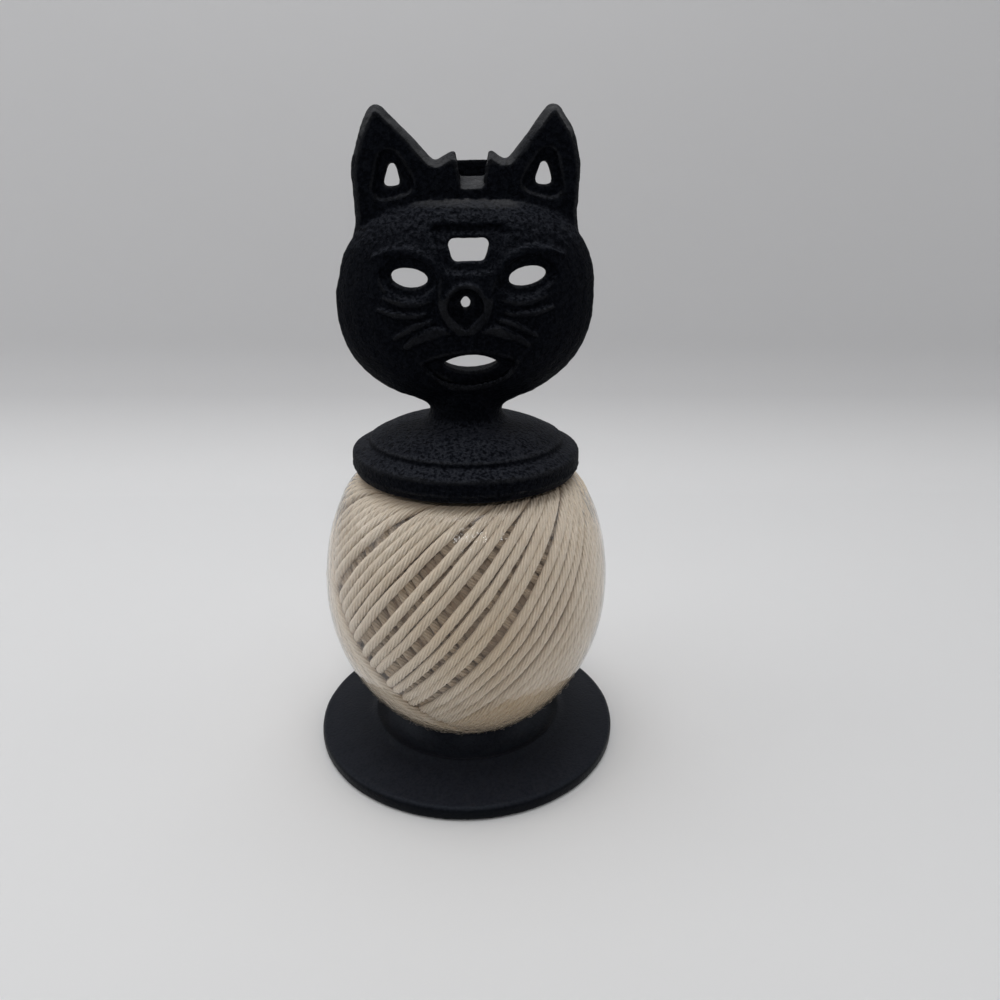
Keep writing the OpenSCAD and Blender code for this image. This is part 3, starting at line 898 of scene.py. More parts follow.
@dataclass(frozen=True)
class HeadCasting(Casting):
    """The top disc, the neck and the cat's head. Metres, apart from its ovals.

    A chipped rim has a height, a width, the radius that chips start at and the share that is rubbed. The sand
    over the brow has two layers, each with a height, a size and a place in the noise.
    """

    face_z: float = 127.9 * MM
    face_half: Range = (31.9 * MM, 23.6 * MM)
    face_edge: Range = (1.04, 0.94)
    face_y: Range = (-5.8 * MM, -6.6 * MM)
    face_passes: float = 3.0
    face_relief: float = 1.1
    nose: Hollow = Hollow(0.0, 127.2, 5.6, 7.0, relief=0.3)
    features: tuple[Hollow, ...] = (
        Hollow(0.0, 140.9, 11.5, 8.5, passes=5.0, relief=-0.45),
        nose,
        Hollow(0.0, 114.2, 13.0, 4.6, passes=2.0, relief=0.1),
        Hollow(13.95, 135.6, 13.0, 8.0, passes=3.0, relief=-0.2),
    )
    forehead_hole: Hollow = Hollow(0.0, 140.4, 8.0, 4.6, relief=0.4)
    ear_hole: Hollow = Hollow(18.0, 156.5, 7.0, 10.5, passes=6.0)
    throat_x: Range = (15.0 * MM, 12.0 * MM)
    throat_y: Range = (-3.0 * MM, -5.0 * MM)
    throat_z: Window = (96.5 * MM, 99.0 * MM, 105.0 * MM, 108.0 * MM)
    throat_passes: float = 50.0
    head_z: Range = (101.0 * MM, 108.0 * MM)
    tilt: float = math.radians(1.3)
    mouth_z: float = 114.0 * MM
    mouth_half: Range = (15.0 * MM, 6.0 * MM)
    mouth_shift: float = 1.3 * MM
    brow_x: Range = (28.0 * MM, 22.0 * MM)
    brow_z: Window = (129.9 * MM, 134.9 * MM, 163.9 * MM, 171.9 * MM)
    brow_shift: float = 0.75 * MM
    lip_x: Range = (12.0 * MM, 8.0 * MM)
    lip_z: float = 108.5 * MM
    lip_curve: float = 24.0 * MM
    lip_w: float = 1.1 * MM
    lip_h: float = 0.95 * MM
    nose_rings: Range = (2.6 * MM, 4.9 * MM)
    nose_flat: float = 0.92
    ring_w: float = 0.5 * MM
    ring_h: float = 0.3 * MM
    band_ring: Window = (0.66, 0.8, 1.02, 1.14)
    band_up: Range = (0.45, 0.7)
    band_sand: tuple[Place, Place] = ((0.22 * MM, 1.25 * MM, 3.1), (0.16 * MM, 0.8 * MM, 5.7))
    seam_y: float = -3.5 * MM
    seam_w: float = 0.35 * MM
    seam_h: float = 0.26 * MM
    rim_r: Range = (29.7 * MM, 30.3 * MM)
    rim_z: float = 85.3 * MM
    rim_w: float = 0.3 * MM
    rim_h: float = 0.34 * MM
    ragged: float = 0.45
    ragged_size: float = 2.4 * MM
    step_r: float = 25.9 * MM
    step_w: float = 0.55 * MM
    step_h: float = 0.28 * MM
    disc_z: Range = (96.0 * MM, 95.0 * MM)
    faces_front: Range = (0.1, 0.4)
    faces_side: Range = (0.75, 0.95)
    faces_up: Range = (0.3, 0.6)
    crown_y: Range = (0.5 * MM, -0.5 * MM)
    crown_z: Range = (148.0 * MM, 152.0 * MM)
    crown_up: Range = (0.15, 0.4)
    crown_front: Range = (0.9, 0.78)
    ear_kept: float = 0.6
    brow_kept: float = 0.8
    kept_z: Range = (131.9 * MM, 138.9 * MM)
    chipped_rims: tuple[Window, Window] = (
        (85.3 * MM, 0.4 * MM, 29.6 * MM, 0.55),
        (88.9 * MM, 0.5 * MM, 29.0 * MM, 0.4),
    )
    chip_edge: float = 0.6 * MM
    chips: Range = (0.25, 1.2)
    chip_size: float = 2.2 * MM

    def ring(self, points: Points) -> np.ndarray:
        """How far each vertex is from the middle of the face: 1 on the face's edge."""
        return np.hypot(points[:, 0] / self.face_half[0], (points[:, 2] - self.face_z) / self.face_half[1])

    def face(self, points: Points) -> np.ndarray:
        """Tells the front of the face, 1, from the rest of the casting, 0."""
        return smooth_step(*self.face_edge, self.ring(points)) * smooth_step(*self.face_y, points[:, 1])

    def passes(self, points: Points) -> np.ndarray:
        """The face is softer than the ears and the disc, and the throat runs smoothly into the chin.

        Args:
            points: Vertices of the mesh.

        Returns:
            How often each vertex is softened.
        """
        x, y, z = np.abs(points[:, 0]), points[:, 1], points[:, 2]
        throat = window(*self.throat_z, z) * smooth_step(*self.throat_x, x) * smooth_step(*self.throat_y, y)
        face = self.face(points)
        most = np.maximum(self.face_passes * face, self.ear_hole.passes * self.ear_hole.cover(points))
        sharp = self.forehead_hole.cover(points)
        for place in self.features:
            most += place.passes * place.cover(points) * face * (1.0 - sharp)
        return self.skin.passes + most + self.throat_passes * throat

    def relief(self, points: Points) -> np.ndarray:
        """The whiskers, lids and lips stand out more than on the pattern, and the recesses are shallower.

        Args:
            points: Vertices of the mesh.

        Returns:
            Share of its own height that is added to the relief at each vertex.
        """
        gain = np.full(len(points), self.face_relief)
        for place in (*self.features, self.forehead_hole):
            gain += (place.relief - gain) * place.cover(points)
        return gain * self.face(points)

    def reshaped(self, points: Points) -> Points:
        """Sets one ear higher than the other and the brow and mouth off the middle, as the pattern had them.

        Args:
            points: Vertices of the mesh.

        Returns:
            The moved vertices.
        """
        moved = points.copy()
        x, z = points[:, 0], points[:, 2]
        across, up = x / self.mouth_half[0], (z - self.mouth_z) / self.mouth_half[1]
        brow = window(*self.brow_z, z) * smooth_step(*self.brow_x, x)
        moved[:, 0] += self.mouth_shift * np.exp(-(across**4) - up**4) + self.brow_shift * brow
        moved[:, 2] += self.tilt * x * smooth_step(*self.head_z, z)
        return moved

    def wear_and_highlight(self, mesh: bpy.types.Mesh) -> np.ndarray:
        """Edges are worn, less on the brow; on the face's crests this also paints highlights.
        The up- and forward-facing slopes of the ears and crown get a painted highlight all over,
        and the disc is worn in chips.

        Args:
            mesh: The casting's mesh.

        Returns:
            One number from 0 to 1 for each vertex.
        """
        points = points_of(mesh)
        normals = normals_of(mesh)
        y, z = points[:, 1], points[:, 2]
        brow = self.face(points) * smooth_step(*self.kept_z, z)
        # Rubbed edges; on the face's crests they also stand for painted highlights.
        edges = super().wear_and_highlight(mesh) * (1.0 - self.brow_kept * brow)
        # Painted highlight on the up- and forward-facing slopes of the ears and crown, as light from above
        # falls.
        slope = smooth_step(*self.crown_up, normals[:, 2]) * smooth_step(*self.crown_front, -normals[:, 1])
        crown = smooth_step(*self.crown_y, y) * smooth_step(*self.crown_z, z)
        rubbed_and_lit = slope * crown * (1.0 - self.ear_kept * self.ear_hole.cover(points))
        reach = np.hypot(points[:, 0], y)
        least, spread = self.chips
        chips = np.clip(least + spread * rough(points, self.chip_size, 4.4), 0.0, 1.0)
        worn = np.maximum(edges, rubbed_and_lit)
        for rim_z, rim_w, start, share in self.chipped_rims:
            rim = hump(rim_z, rim_w, z) * smooth_step(start, start + self.chip_edge, reach)
            worn = np.maximum(worn, share * rim * chips)
        return worn

    def ridges(self, points: Points) -> np.ndarray:
        """The lower lip, the rings round the nose and the coarse sand over the brow.

        Args:
            points: Vertices of the mesh.

        Returns:
            Their height at each vertex, in metres.
        """
        x, z = points[:, 0], points[:, 2]
        beside = x - self.mouth_shift
        lip = hump(self.lip_z + beside**2 / self.lip_curve, self.lip_w, z)
        from_nose = np.hypot(x, self.nose_flat * (z - self.nose.z * MM))
        rings = sum(hump(radius, self.ring_w, from_nose) for radius in self.nose_rings)
        up = (z - self.face_z) / self.face_half[1]
        band = window(*self.band_ring, self.ring(points)) * smooth_step(*self.band_up, up)
        sand = sum(height * rough(points, size, shift) for height, size, shift in self.band_sand)
        return self.lip_h * lip * smooth_step(*self.lip_x, np.abs(beside)) + self.ring_h * rings + band * sand

    def flash(self, points: Points, normals: Points) -> np.ndarray:
        """Ragged fins along the parting lines of the head and the disc.

        Args:
            points: Vertices of the mesh.
            normals: Their normals.

        Returns:
            Their height at each vertex, in metres.
        """
        sides = smooth_step(*self.head_z, points[:, 2]) * smooth_step(*self.faces_side, np.abs(normals[:, 0]))
        seam = hump(self.seam_y, self.seam_w, points[:, 1]) * sides
        outer = smooth_step(*self.rim_r, np.hypot(points[:, 0], points[:, 1]))
        rim = hump(self.rim_z, self.rim_w, points[:, 2]) * outer
        ragged = np.clip(self.ragged + rough(points, self.ragged_size, 1.9), 0.0, 1.0)
        return (self.seam_h * seam + self.rim_h * rim) * ragged

    def lift(self, points: Points, normals: Points) -> np.ndarray:
        """The skin's unevenness, the ridges of the face, the flash and the crisp step on top of the disc.

        Args:
            points: Vertices of the mesh.
            normals: Their normals.

        Returns:
            The lift at each vertex, in metres.
        """
        front = smooth_step(*self.faces_front, -normals[:, 1])
        off_step = (np.hypot(points[:, 0], points[:, 1]) - self.step_r) / self.step_w
        disc_top = smooth_step(*self.faces_up, normals[:, 2]) * smooth_step(*self.disc_z, points[:, 2])
        step = -self.step_h * off_step * np.exp(0.5 - 0.5 * off_step**2) * disc_top
        skin = super().lift(points, normals) + self.flash(points, normals)
        return skin + front * self.ridges(points) + step


# Twine ball


@dataclass(frozen=True)
class BallShape:
    """The oval body that the strands lie on. Millimetres and radians.

    The bare yarn's edge rises in humps, each with a height, a middle and a width, and in waves, each with a
    height, a number round the ball and a start. The mark at the front has middles and widths.
    """

    belly_z: float = 49.3
    radius: float = 40.0
    high_half: float = 50.97
    low_half: float = 46.6
    low: float = 9.8
    high: float = 82.8
    top_gap: float = 0.3
    top_round: float = 2.0
    bore: float = 7.0
    bare_z: float = 21.5
    bare_edge: float = 1.2
    bare_humps: tuple[Place, Place] = ((14.0, -0.85, 0.65), (-6.0, -2.3, 0.6))
    bare_waves: tuple[Place, Place] = ((1.6, 3.0, 1.0), (0.9, 8.0, 0.0))
    mark_most: float = 0.9
    mark_turn: Range = (-1.45, 0.42)
    mark_z: Range = (50.0, 15.0)

    def at(self, lat_sine: np.ndarray, turn: np.ndarray, inset: np.ndarray) -> Points:
        """Points on the oval, flattened at its upper end.

        Args:
            lat_sine: Sine of the latitude, from -1 to 1.
            turn: Angle round the axis.
            inset: Distance under the ball's surface.

        Returns:
            The points.
        """
        half = np.where(lat_sine > 0.0, self.high_half, self.low_half) - inset
        across = (self.radius - inset) * np.sqrt(1.0 - lat_sine**2)
        rise = self.belly_z + half * lat_sine
        over = (rise - (self.high - self.top_gap - inset)) / self.top_round
        rise = rise - self.top_round * np.log1p(np.exp(over))
        return np.stack([across * np.cos(turn), across * np.sin(turn), rise], 1)

    def brown_at(self, points: Points) -> np.ndarray:
        """How brown the yarn is: most where it is bare round the lower end, less in a mark at the front.

        Args:
            points: The points.

        Returns:
            1 for each point on bare yarn, 0 under tight film.
        """
        turn = np.arctan2(points[:, 1], points[:, 0])
        humps = sum(height * hump(middle, width, turn) for height, middle, width in self.bare_humps)
        waves = sum(height * np.sin(often * turn + start) for height, often, start in self.bare_waves)
        edge = self.bare_z + humps + waves
        bare = smooth_step(self.bare_edge, -self.bare_edge, points[:, 2] - edge)
        mark = self.mark_most * hump(*self.mark_turn, turn) * hump(*self.mark_z, points[:, 2])
        return np.maximum(bare, mark)

    def inset_at(self, points: Points) -> np.ndarray:
        """About how far points lie under the ball's surface.

        Args:
            points: The points.

        Returns:
            The depth of each.
        """
        rise = points[:, 2] - self.belly_z
        half = np.where(rise > 0.0, self.high_half, self.low_half)
        across = np.hypot(points[:, 0], points[:, 1]) / self.radius
        return self.radius * (1.0 - np.hypot(across, rise / half))


@dataclass(frozen=True)
class Winding:
    """One strand of twine, wound in tilted loops that creep round the ball. Millimetres and degrees.

    The wide gaps are given by how far they lie behind the newest loop and by how wide they are. The last four
    are on the far side. Where it runs under others, a share of the loops is sunk between the older yarn.
    """

    twine_d: float = 2.5
    pitch: float = 5.3
    uneven: float = 0.06
    last_node: float = 30.0
    high_sine: float = 0.84
    low_sine: float = -0.845
    most_sine: float = 0.9
    lean: float = 0.80
    upper_inset: float = 1.6
    layer_drop: float = 1.9
    sunk: float = 1.2
    sunk_share: float = 0.35
    crossing: Range = (-0.05, 0.09)
    turning: float = 0.22
    swing_wobble: float = 0.006
    inset_wobble: float = 0.12
    drift: float = 0.02
    waves: float = 0.007
    loop_points: int = 400
    step: float = 1.25
    plies: int = 8
    ply_sides: int = 4
    ply_round: float = 0.7
    lay: float = 16.0
    groove: float = 0.34
    slub: float = 0.09
    slub_size: float = 3.4
    pieces: int = 5
    wide_gaps: tuple[Range, ...] = (
        (85.1, 2.0),
        (111.6, 5.0),
        (124.0, 2.0),
        (137.7, 5.0),
        (150.3, 1.6),
        (159.3, 3.5),
        (188.9, 4.5),
        (224.0, 4.0),
        (262.0, 5.0),
        (291.0, 2.0),
        (331.0, 4.5),
    )
    seed: int = 11

    def creep(self) -> np.ndarray:
        """Where each loop starts, as an angle behind the newest. Strands fill the space between wide gaps.

        Returns:
            One angle for each loop, in radians, from the oldest to 0 for the newest.
        """
        dice = random.Random(self.seed)
        ages = []
        start = -self.pitch / 2.0
        for place, width in (*self.wide_gaps, (360.0, 0.0)):
            span = place - width / 2.0 - start
            strands = round(span / self.pitch)
            for k in range(strands):
                ages.append(start + span * (k + 0.5 + self.uneven * dice.uniform(-1.0, 1.0)) / strands)
            start = place + width / 2.0
        behind = np.radians(ages)
        return (behind - behind[0])[::-1]

    def on_top(self, turn: np.ndarray, run: np.ndarray, age: np.ndarray) -> np.ndarray:
        """Tells where the strand lies on top.

        Args:
            turn: Angle along the strand, a full turn for each loop.
            run: Angle round the ball within each loop.
            age: Angle of each loop behind the newest.

        Returns:
            1 where the strand lies on top, 0 where it lies under another.
        """
        rising = np.where(np.cos(turn) > 0.0, run, np.sign(np.sin(turn)) * math.pi - run)
        over_rising = smooth_step(*self.crossing, rising - (age - math.pi) / 2.0)
        over_falling = smooth_step(*self.crossing, (math.pi - age) / 2.0 - rising)
        climbing = smooth_step(-self.turning, self.turning, np.cos(turn))
        return climbing * over_rising + (1.0 - climbing) * over_falling

    def centre_line(self, shape: BallShape) -> tuple[Points, np.ndarray]:
        """The strand's middle, from its oldest loop to its newest.

        Args:
            shape: The body that it lies on.

        Returns:
            The points, and 1 where the strand lies on top or 0 where it lies under another.
        """
        ages = self.creep()
        loops = len(ages) - 1
        fine = np.linspace(0.0, loops, loops * self.loop_points)
        age = np.interp(fine, np.arange(loops + 1), ages)
        turn = FULL_TURN * fine
        run = np.arctan2(self.lean * np.sin(turn), np.cos(turn))
        wraps = np.floor((turn + math.pi) / FULL_TURN) * FULL_TURN
        top = self.on_top(turn, run, age)
        wobble = wander(fine, 4.5, (8.1, 3.3))
        drift = self.drift * wander(fine, 3.66, (2.7, 0.4)) + self.waves * wander(fine, 26.0, (5.2, 1.7))
        middle = (self.high_sine + self.low_sine) / 2.0
        swing = (self.high_sine - self.low_sine) / 2.0 + self.swing_wobble * wobble
        sine = np.clip(middle + swing * np.sin(turn), -self.most_sine, self.most_sine)
        dice = random.Random(self.seed)
        sunk = np.array([self.sunk * (dice.random() < self.sunk_share) for _ in range(loops + 1)])
        drop = self.layer_drop + sunk[np.floor(fine).astype(int)]
        inset = self.upper_inset + drop * (1.0 - top) + self.inset_wobble * wobble
        points = shape.at(sine, math.radians(self.last_node) - age + run + wraps + drift, inset)
        length = np.concatenate([[0.0], np.cumsum(np.linalg.norm(np.diff(points, axis=0), axis=1))])
        even = np.arange(0.0, length[-1], self.step)
        spaced = np.stack([np.interp(even, length, points[:, axis]) for axis in range(3)], 1)
        LOG.info("outer winding: %.2f m of twine in %d loops", length[-1] * MM, loops)
        return spaced, np.interp(even, length, top)

    def section(self) -> bpy.types.Object:
        """The twine's cross-section: plies laid side by side round its middle.

        Returns:
            A flat closed curve.
        """
        sides = self.plies * self.ply_sides
        curve = bpy.data.curves.new("twine_section", "CURVE")
        spline = curve.splines.new("POLY")
        spline.points.add(sides - 1)
        for k, point in enumerate(spline.points):
            angle = FULL_TURN * k / sides
            lobe = abs(math.cos(self.plies * angle / 2.0)) ** self.ply_round
            radius = (self.twine_d / 2.0 - self.groove * (1.0 - lobe)) * MM
            point.co = (radius * math.cos(angle), radius * math.sin(angle), 0.0, 1.0)
        spline.use_cyclic_u = True
        return new_object("twine_section", curve)

    def tube(self, line: Points, first: int, section: bpy.types.Object, name: str) -> bpy.types.Mesh:
        """Draws the section along a stretch of the strand, turning with the lay of its plies.

        Args:
            line: The stretch's points.
            first: Place of its first point in the whole strand.
            section: The twine's cross-section.
            name: Name of the mesh.

        Returns:
            The stretch's mesh.
        """
        curve = bpy.data.curves.new(name, "CURVE")
        curve.dimensions = "3D"
        curve.twist_mode = "MINIMUM"
        spline = curve.splines.new("POLY")
        spline.points.add(len(line) - 1)
        spline.points.foreach_set("co", np.column_stack([line * MM, np.ones(len(line))]).ravel())
        tilt = -(first + np.arange(len(line))) * self.step / self.lay * FULL_TURN
        spline.points.foreach_set("tilt", tilt)
        spline.points.foreach_set("radius", 1.0 + self.slub * rough(line, self.slub_size, 2.2))
        curve.bevel_mode = "OBJECT"
        curve.bevel_object = section
        curve.use_fill_caps = True
        work = bmesh.new()
        work.from_mesh(evaluated_mesh(new_object(name, curve), name))
        bmesh.ops.remove_doubles(work, verts=work.verts[:], dist=0.001 * MM)
        return mesh_from(work, name)


@dataclass(frozen=True)
class Fuzz:
    """Loose cotton fibres on the upper strands, some of which stray further low on the ball. Millimetres."""

    count: int = 3600
    thickness: float = 0.028
    upper: float = 0.9
    ends: int = 4
    root: float = 0.47
    root_spread: float = 0.7
    lengths: Range = (0.8, 2.6)
    bows: Range = (0.08, 0.3)
    stray_bows: Range = (0.3, 1.0)
    stray_below: float = 36.0
    stray_share: float = 0.14
    curl: float = 2.2
    bends: int = 3
    seed: int = 5

    def build(self, line: Points, top: np.ndarray, shape: BallShape, twine_d: float) -> bpy.types.Mesh:
        """Draws the fibres.

        Args:
            line: The strand's middle.
            top: 1 where the strand lies on top.
            shape: The ball's body.
            twine_d: The twine's diameter.

        Returns:
            One mesh with all the fibres.
        """
        dice = random.Random(self.seed)
        curve = bpy.data.curves.new("twine_fuzz", "CURVE")
        curve.dimensions = "3D"
        curve.bevel_depth = self.thickness / 2.0 * MM
        curve.bevel_resolution = 0
        seen = np.flatnonzero(top[self.ends : -self.ends] > self.upper) + self.ends
        middle = Vector((0.0, 0.0, shape.belly_z))
        for _ in range(self.count):
            place = seen[dice.randrange(len(seen))]
            root = Vector(line[place])
            out = (root - middle).normalized()
            along = (Vector(line[place + 1]) - root).normalized()
            across = out.cross(along)
            aside = across * dice.uniform(-self.root_spread, self.root_spread)
            start = root + (out + aside).normalized() * twine_d * self.root
            heading = along * dice.uniform(-1.0, 1.0) + across * dice.uniform(-1.0, 1.0)
            reach = heading.normalized() * dice.uniform(*self.lengths)
            bow = out * dice.uniform(*self.bows)
            if root.z < self.stray_below and dice.random() < self.stray_share:
                bow = out * dice.uniform(*self.stray_bows)
            spline = curve.splines.new("POLY")
            spline.points.add(self.bends)
            for k, point in enumerate(spline.points):
                share = k / self.bends
                point.co = (*((start + reach * share + bow * math.sin(self.curl * share)) * MM), 1.0)
        return evaluated_mesh(new_object("twine_fuzz", curve), "twine_fuzz")


@dataclass(frozen=True)
class TwineBall:
    """The ball of twine, with the heart of older yarn under its outer layers. Millimetres."""

    shape: BallShape
    winding: Winding
    fuzz: Fuzz
    heart_gap: float = 1.0
    heart_sine: float = 0.97
    heart_rings: int = 110
    heart_steps: int = 200
    heart_strands: float = 44.0
    heart_lean: float = 0.03
    crest: float = 0.55
    lower_crest: float = 0.8
    sunk: float = 0.5
    bore_wall: float = 1.5
    bore_bevel: float = 0.6
    bore_smooth: Range = (1.0, 4.0)
    streaks: float = 0.45
    heart_streaks: float = 40.0
    heart_shade: float = 0.45

    def heart(self) -> bpy.types.Mesh:
        """The older yarn under the outer layers, with its crossings in relief.

        Returns:
            The mesh.
        """
        shape = self.shape
        inset = self.winding.upper_inset + self.winding.layer_drop + self.heart_gap
        sines = np.linspace(-self.heart_sine, self.heart_sine, self.heart_rings)
        side = shape.at(sines, np.zeros(len(sines)), np.full(len(sines), inset))
        rim = [(float(x), float(z)) for x, _, z in side if x > shape.bore + self.bore_wall]
        low, high = rim[0], rim[-1]
        levels = (high[1] - self.bore_bevel, shape.belly_z, low[1] + self.bore_bevel)
        mesh = turned([*rim, *((shape.bore, z) for z in levels)], self.heart_steps, "twine_heart", True)
        points = points_of(mesh) / MM
        turn = np.arctan2(points[:, 1], points[:, 0])
        slant = self.heart_lean * (points[:, 2] - shape.belly_z)
        rising = np.abs(np.sin((turn - slant) * self.heart_strands / 2.0))
        falling = np.abs(np.sin((turn + slant) * self.heart_strands / 2.0))
        relief = self.crest * np.maximum(rising, self.lower_crest * falling) - self.sunk
        from_bore = np.hypot(points[:, 0], points[:, 1]) - shape.bore
        lifted = normals_of(mesh) * (relief * smooth_step(*self.bore_smooth, from_bore))[:, None]
        set_points(mesh, (points + lifted) * MM)
        return mesh

    def build(self) -> None:
        """Makes the ball's pieces and puts them on the part."""
        winding = self.winding
        line, top = winding.centre_line(self.shape)
        section = winding.section()
        share = math.ceil(len(line) / winding.pieces)
        yarn = TwineFinish("cotton_twine", share * winding.step * self.streaks, 0.0, winding.plies).make()
        made = []
        for k in range(winding.pieces):
            stretch = slice(k * share, min((k + 1) * share + 1, len(line)))
            name = f"twine_strand_{k + 1}"
            piece = new_object(name, winding.tube(line[stretch], k * share, section, name))
            settle(piece, Body.BALL, yarn, ("twine_winding",))
            made.append(piece)
        bpy.data.objects.remove(section)
        heart = new_object("twine_heart", self.heart())
        for piece in (*made, heart):
            places = points_of(piece.data) / MM
            keep_values(piece.data, "inset", self.shape.inset_at(places))
            keep_values(piece.data, "brown", self.shape.brown_at(places))
        # The heart's deeper colour is painted shade, as it lies under the outer layers.
        shaded_heart_yarn = TwineFinish("heart_twine_shaded", self.heart_streaks, self.heart_shade, 0.0).make()
        settle(heart, Body.BALL, shaded_heart_yarn, ("twine_core",))
        loose = new_object("twine_fuzz", self.fuzz.build(line, top, self.shape, winding.twine_d))
        settle(loose, Body.BALL, yarn)


@dataclass(frozen=True)
class FilmWrap:
    """Clear film shrunk round the ball, creased at the shoulder and gathered low down. Millimetres."""

    shape: BallShape = BallShape()
    thickness: float = 0.12
    hole: float = 12.0
    inset: float = 0.2
    drawn_in: float = 0.6
    drawn_sines: Range = (0.45, 0.75)
    last_sine: float = 0.98
    shoulder_z: Window = (64.0, 72.0, 78.0, 82.0)
    gathers_z: Range = (30.0, 14.0)
    gathers: float = 0.15
    folds_round: float = 9.0
    folds_up: float = 0.06
    fold_flat: float = 0.04
    fold_creased: float = 0.16
    fold_middle: float = 0.2
    rings: int = 64
    hole_rings: int = 5
    steps: int = 160

    def build(self) -> None:
        """Makes the film and puts it on the part."""
        shape = self.shape
        sines = np.linspace((shape.low - shape.belly_z) / shape.low_half, self.last_sine, self.rings)
        inset = self.inset + self.drawn_in * smooth_step(*self.drawn_sines, sines)
        over = shape.at(sines, np.zeros(self.rings), inset)
        side = [(float(r), float(z)) for r, _, z in over if r > self.hole]
        lower = [(float(r), shape.low) for r in np.linspace(self.hole, side[0][0], self.hole_rings)[:-1]]
        mesh = turned(lower + side, self.steps, "shrink_film_wrap", False)
        points = points_of(mesh)
        height = points[:, 2] / MM
        gathered = self.gathers * smooth_step(*self.gathers_z, height)
        crease = np.maximum(window(*self.shoulder_z, height), gathered)
        turn = np.arctan2(points[:, 1], points[:, 0])
        round_ball = self.folds_round * np.column_stack([np.cos(turn), np.sin(turn)])
        pull = rough(np.column_stack([round_ball, height * self.folds_up]), 1.0)
        depth = (self.fold_flat + self.fold_creased * crease) * (pull - self.fold_middle) * MM
        set_points(mesh, points + normals_of(mesh) * depth[:, None])
        keep_values(mesh, "crease", crease)
        film = new_object("shrink_film_wrap", mesh)
        wall = film.modifiers.new("wall", "SOLIDIFY")
        wall.thickness = self.thickness * MM
        wall.offset = -1.0
        settle(film, Body.BALL, FilmFinish().make(), ("shrink_film",))


# Hardware that keeps its solid


def dress_hardware(material: bpy.types.Material) -> None:
    """Gives the spindle, its washer and its nut the steel finish.

    Args:
        material: The steel's finish.
    """
    for node in ("spindle", "spindle_washer", "spindle_nut"):
        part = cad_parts[node]
        part.data.materials.clear()
        part.data.materials.append(material)


# Stage


@dataclass(frozen=True)
class Lamp:
    """A soft lamp: where it hangs, what it points at, its face and its power. Metres and watts."""

    name: str
    place: Place
    aim: Place
    face: Range
    power: float

    def hang(self) -> None:
        """Adds the lamp to the scene."""
        data = bpy.data.lights.new(self.name, "AREA")
        data.shape = "RECTANGLE"
        data.size, data.size_y = self.face
        data.energy = self.power
        lamp = new_object(self.name, data)
        lamp.location = self.place
        lamp.rotation_euler = (Vector(self.aim) - Vector(self.place)).to_track_quat("-Z", "Y").to_euler()


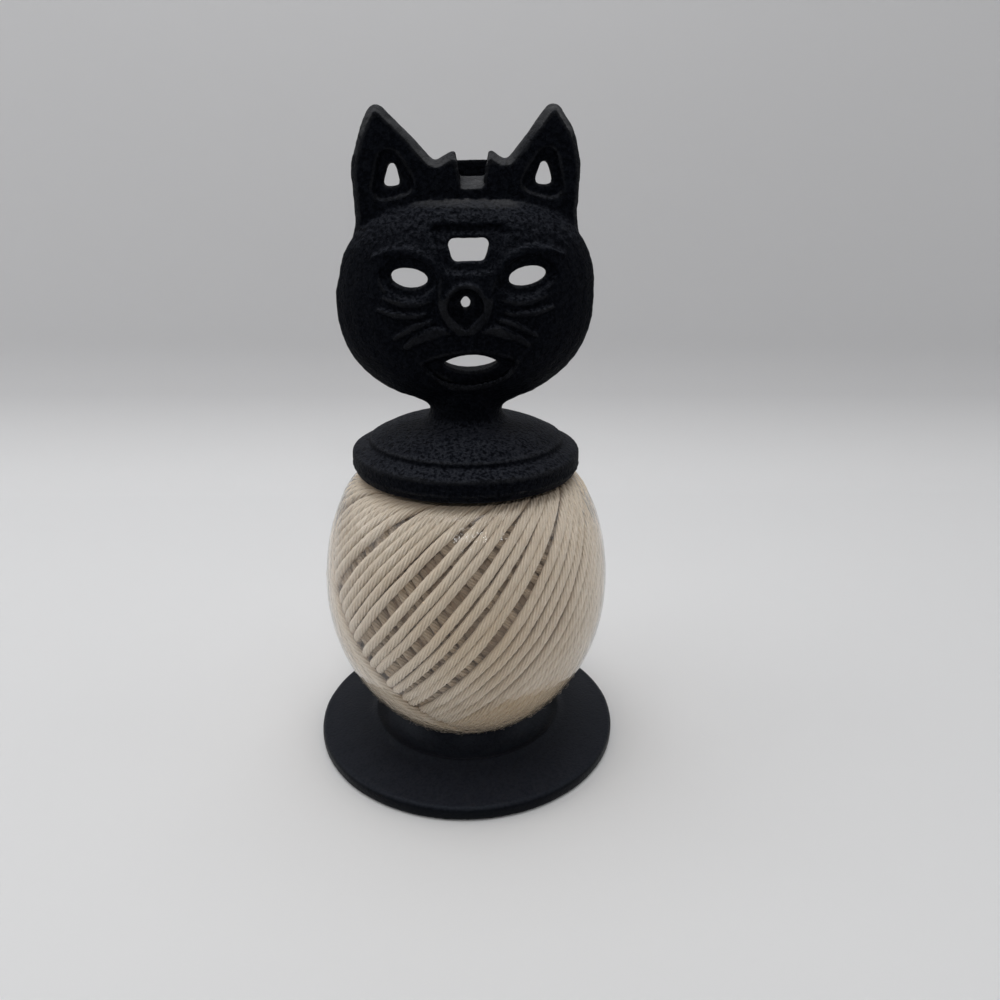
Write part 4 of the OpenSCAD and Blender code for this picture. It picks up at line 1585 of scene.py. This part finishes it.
@dataclass(frozen=True)
class Stage:
    """The pale sweep that the holder stands on, its lamps and the camera. Metres and degrees."""

    sweep_half_width: float = 1.6
    sweep_front: float = -1.4
    sweep_bend_y: float = 0.20
    sweep_bend_r: float = 0.07
    sweep_top: float = 1.4
    bend_steps: int = 24
    pale: Colour = (0.76, 0.763, 0.77, 1.0)
    wall: Colour = (0.585, 0.585, 0.595, 1.0)
    wall_rise: Range = (0.0, 0.04)
    camera_at: Place = (0.0, -0.2078, 0.15279)
    camera_pan: float = 2.56
    camera_down: float = 21.04
    camera_roll: float = 0.6
    lens: float = 28.69
    sensor: float = 36.0
    lamps: tuple[Lamp, ...] = (
        Lamp("overhead", (-0.03, -0.02, 0.68), (0.0, -0.02, 0.0), (0.5, 0.5), 2.45),
        Lamp("left_panel", (-0.62, 0.0, 0.34), (0.0, 0.0, 0.07), (0.5, 0.5), 1.2),
        Lamp("right_panel", (0.62, 0.0, 0.34), (0.0, 0.0, 0.07), (0.5, 0.5), 0.75),
        Lamp("front_strip", (0.03, -0.85, 0.68), (0.0, 0.0, 0.08), (0.34, 0.02), 1.6),
    )
    room_light: float = 0.06
    room_seen: float = 0.42

    def sweep(self) -> None:
        """Builds the floor that bends up into the backdrop."""
        bend = np.linspace(0.0, math.pi / 2.0, self.bend_steps + 1)
        depth = self.sweep_bend_y + self.sweep_bend_r * np.sin(bend)
        height = self.sweep_bend_r * (1.0 - np.cos(bend))
        depth = np.array([self.sweep_front, *depth, depth[-1]])
        height = np.array([0.0, *height, height[-1] + self.sweep_top])
        across = np.array([[-self.sweep_half_width], [self.sweep_half_width]])
        rows = np.stack(np.broadcast_arrays(across, depth, height), -1)
        floor = new_object("floor_sweep", joined(rows, "floor_sweep", False, False))
        finish = Finish("pale_board")
        wiring = finish.wiring
        upright = wiring.span(wiring.axis(wiring.object_place(), 2), *self.wall_rise, 0.0, 1.0)
        finish.set(Base_Color=wiring.mixed(upright, self.pale, self.wall), Roughness=0.7)
        floor.data.materials.append(finish.material)

    def world(self) -> None:
        """Fills the room with even light, and shows the room brighter to the camera and in reflections."""
        world = bpy.data.worlds.new("room")
        bpy.context.scene.world = world
        world.use_nodes = True
        wiring = Wiring(world.node_tree)
        path = wiring.node("ShaderNodeLightPath").outputs
        mirrored = wiring.sum("MAXIMUM", path["Is Glossy Ray"], path["Is Transmission Ray"])
        looked_at = wiring.sum("MAXIMUM", path["Is Camera Ray"], mirrored)
        strength = wiring.span(looked_at, 0.0, 1.0, self.room_light, self.room_seen)
        wiring.feed(world.node_tree.nodes["Background"], Color=(1.0, 1.0, 1.0, 1.0), Strength=strength)

    def camera(self) -> None:
        """Sets the camera where the photograph was taken from."""
        data = bpy.data.cameras.new("camera")
        data.sensor_width = self.sensor
        data.lens = self.lens
        data.clip_start = 0.01
        camera = new_object("camera", data)
        pan = Matrix.Rotation(math.radians(-self.camera_pan), 4, "Z")
        tilt = Matrix.Rotation(math.radians(90.0 - self.camera_down), 4, "X")
        roll = Matrix.Rotation(math.radians(self.camera_roll), 4, "Z")
        camera.matrix_world = Matrix.Translation(self.camera_at) @ pan @ tilt @ roll
        bpy.context.scene.camera = camera

    def build(self) -> None:
        """Sets up the floor, the light and the camera."""
        self.camera()
        self.sweep()
        for lamp in self.lamps:
            lamp.hang()
        self.world()
        bpy.context.scene.view_settings.view_transform = "Standard"


def main() -> None:
    """Builds the stage and every piece of the holder, in order."""
    logging.basicConfig(level=logging.INFO, format="%(message)s")
    Stage().build()
    make_grain()
    make_patches()
    sandy_iron = IronFinish("cast_iron_paint", gloss=0.024, roughness=(0.44, 0.64)).make()
    smooth_iron = IronFinish("smooth_iron_paint", gloss=0.08, roughness=(0.34, 0.46)).make()
    smooth_skin = CastSkin(voxel=0.5 * MM, passes=4, swell=0.06 * MM, lump=0.015 * MM, sand=0.2)
    sandy_skin = CastSkin(voxel=0.4 * MM, passes=3, kept_share=0.63)
    FootCasting("base_foot", "foot_casting", Body.BASE, smooth_skin).build(smooth_iron)
    HeadCasting("cat_head", "cat_casting", Body.TOP, sandy_skin).build(sandy_iron)
    dress_hardware(SteelFinish().make())
    TwineBall(BallShape(), Winding(), Fuzz()).build()
    FilmWrap().build()


if __name__ == "__main__":
    main()
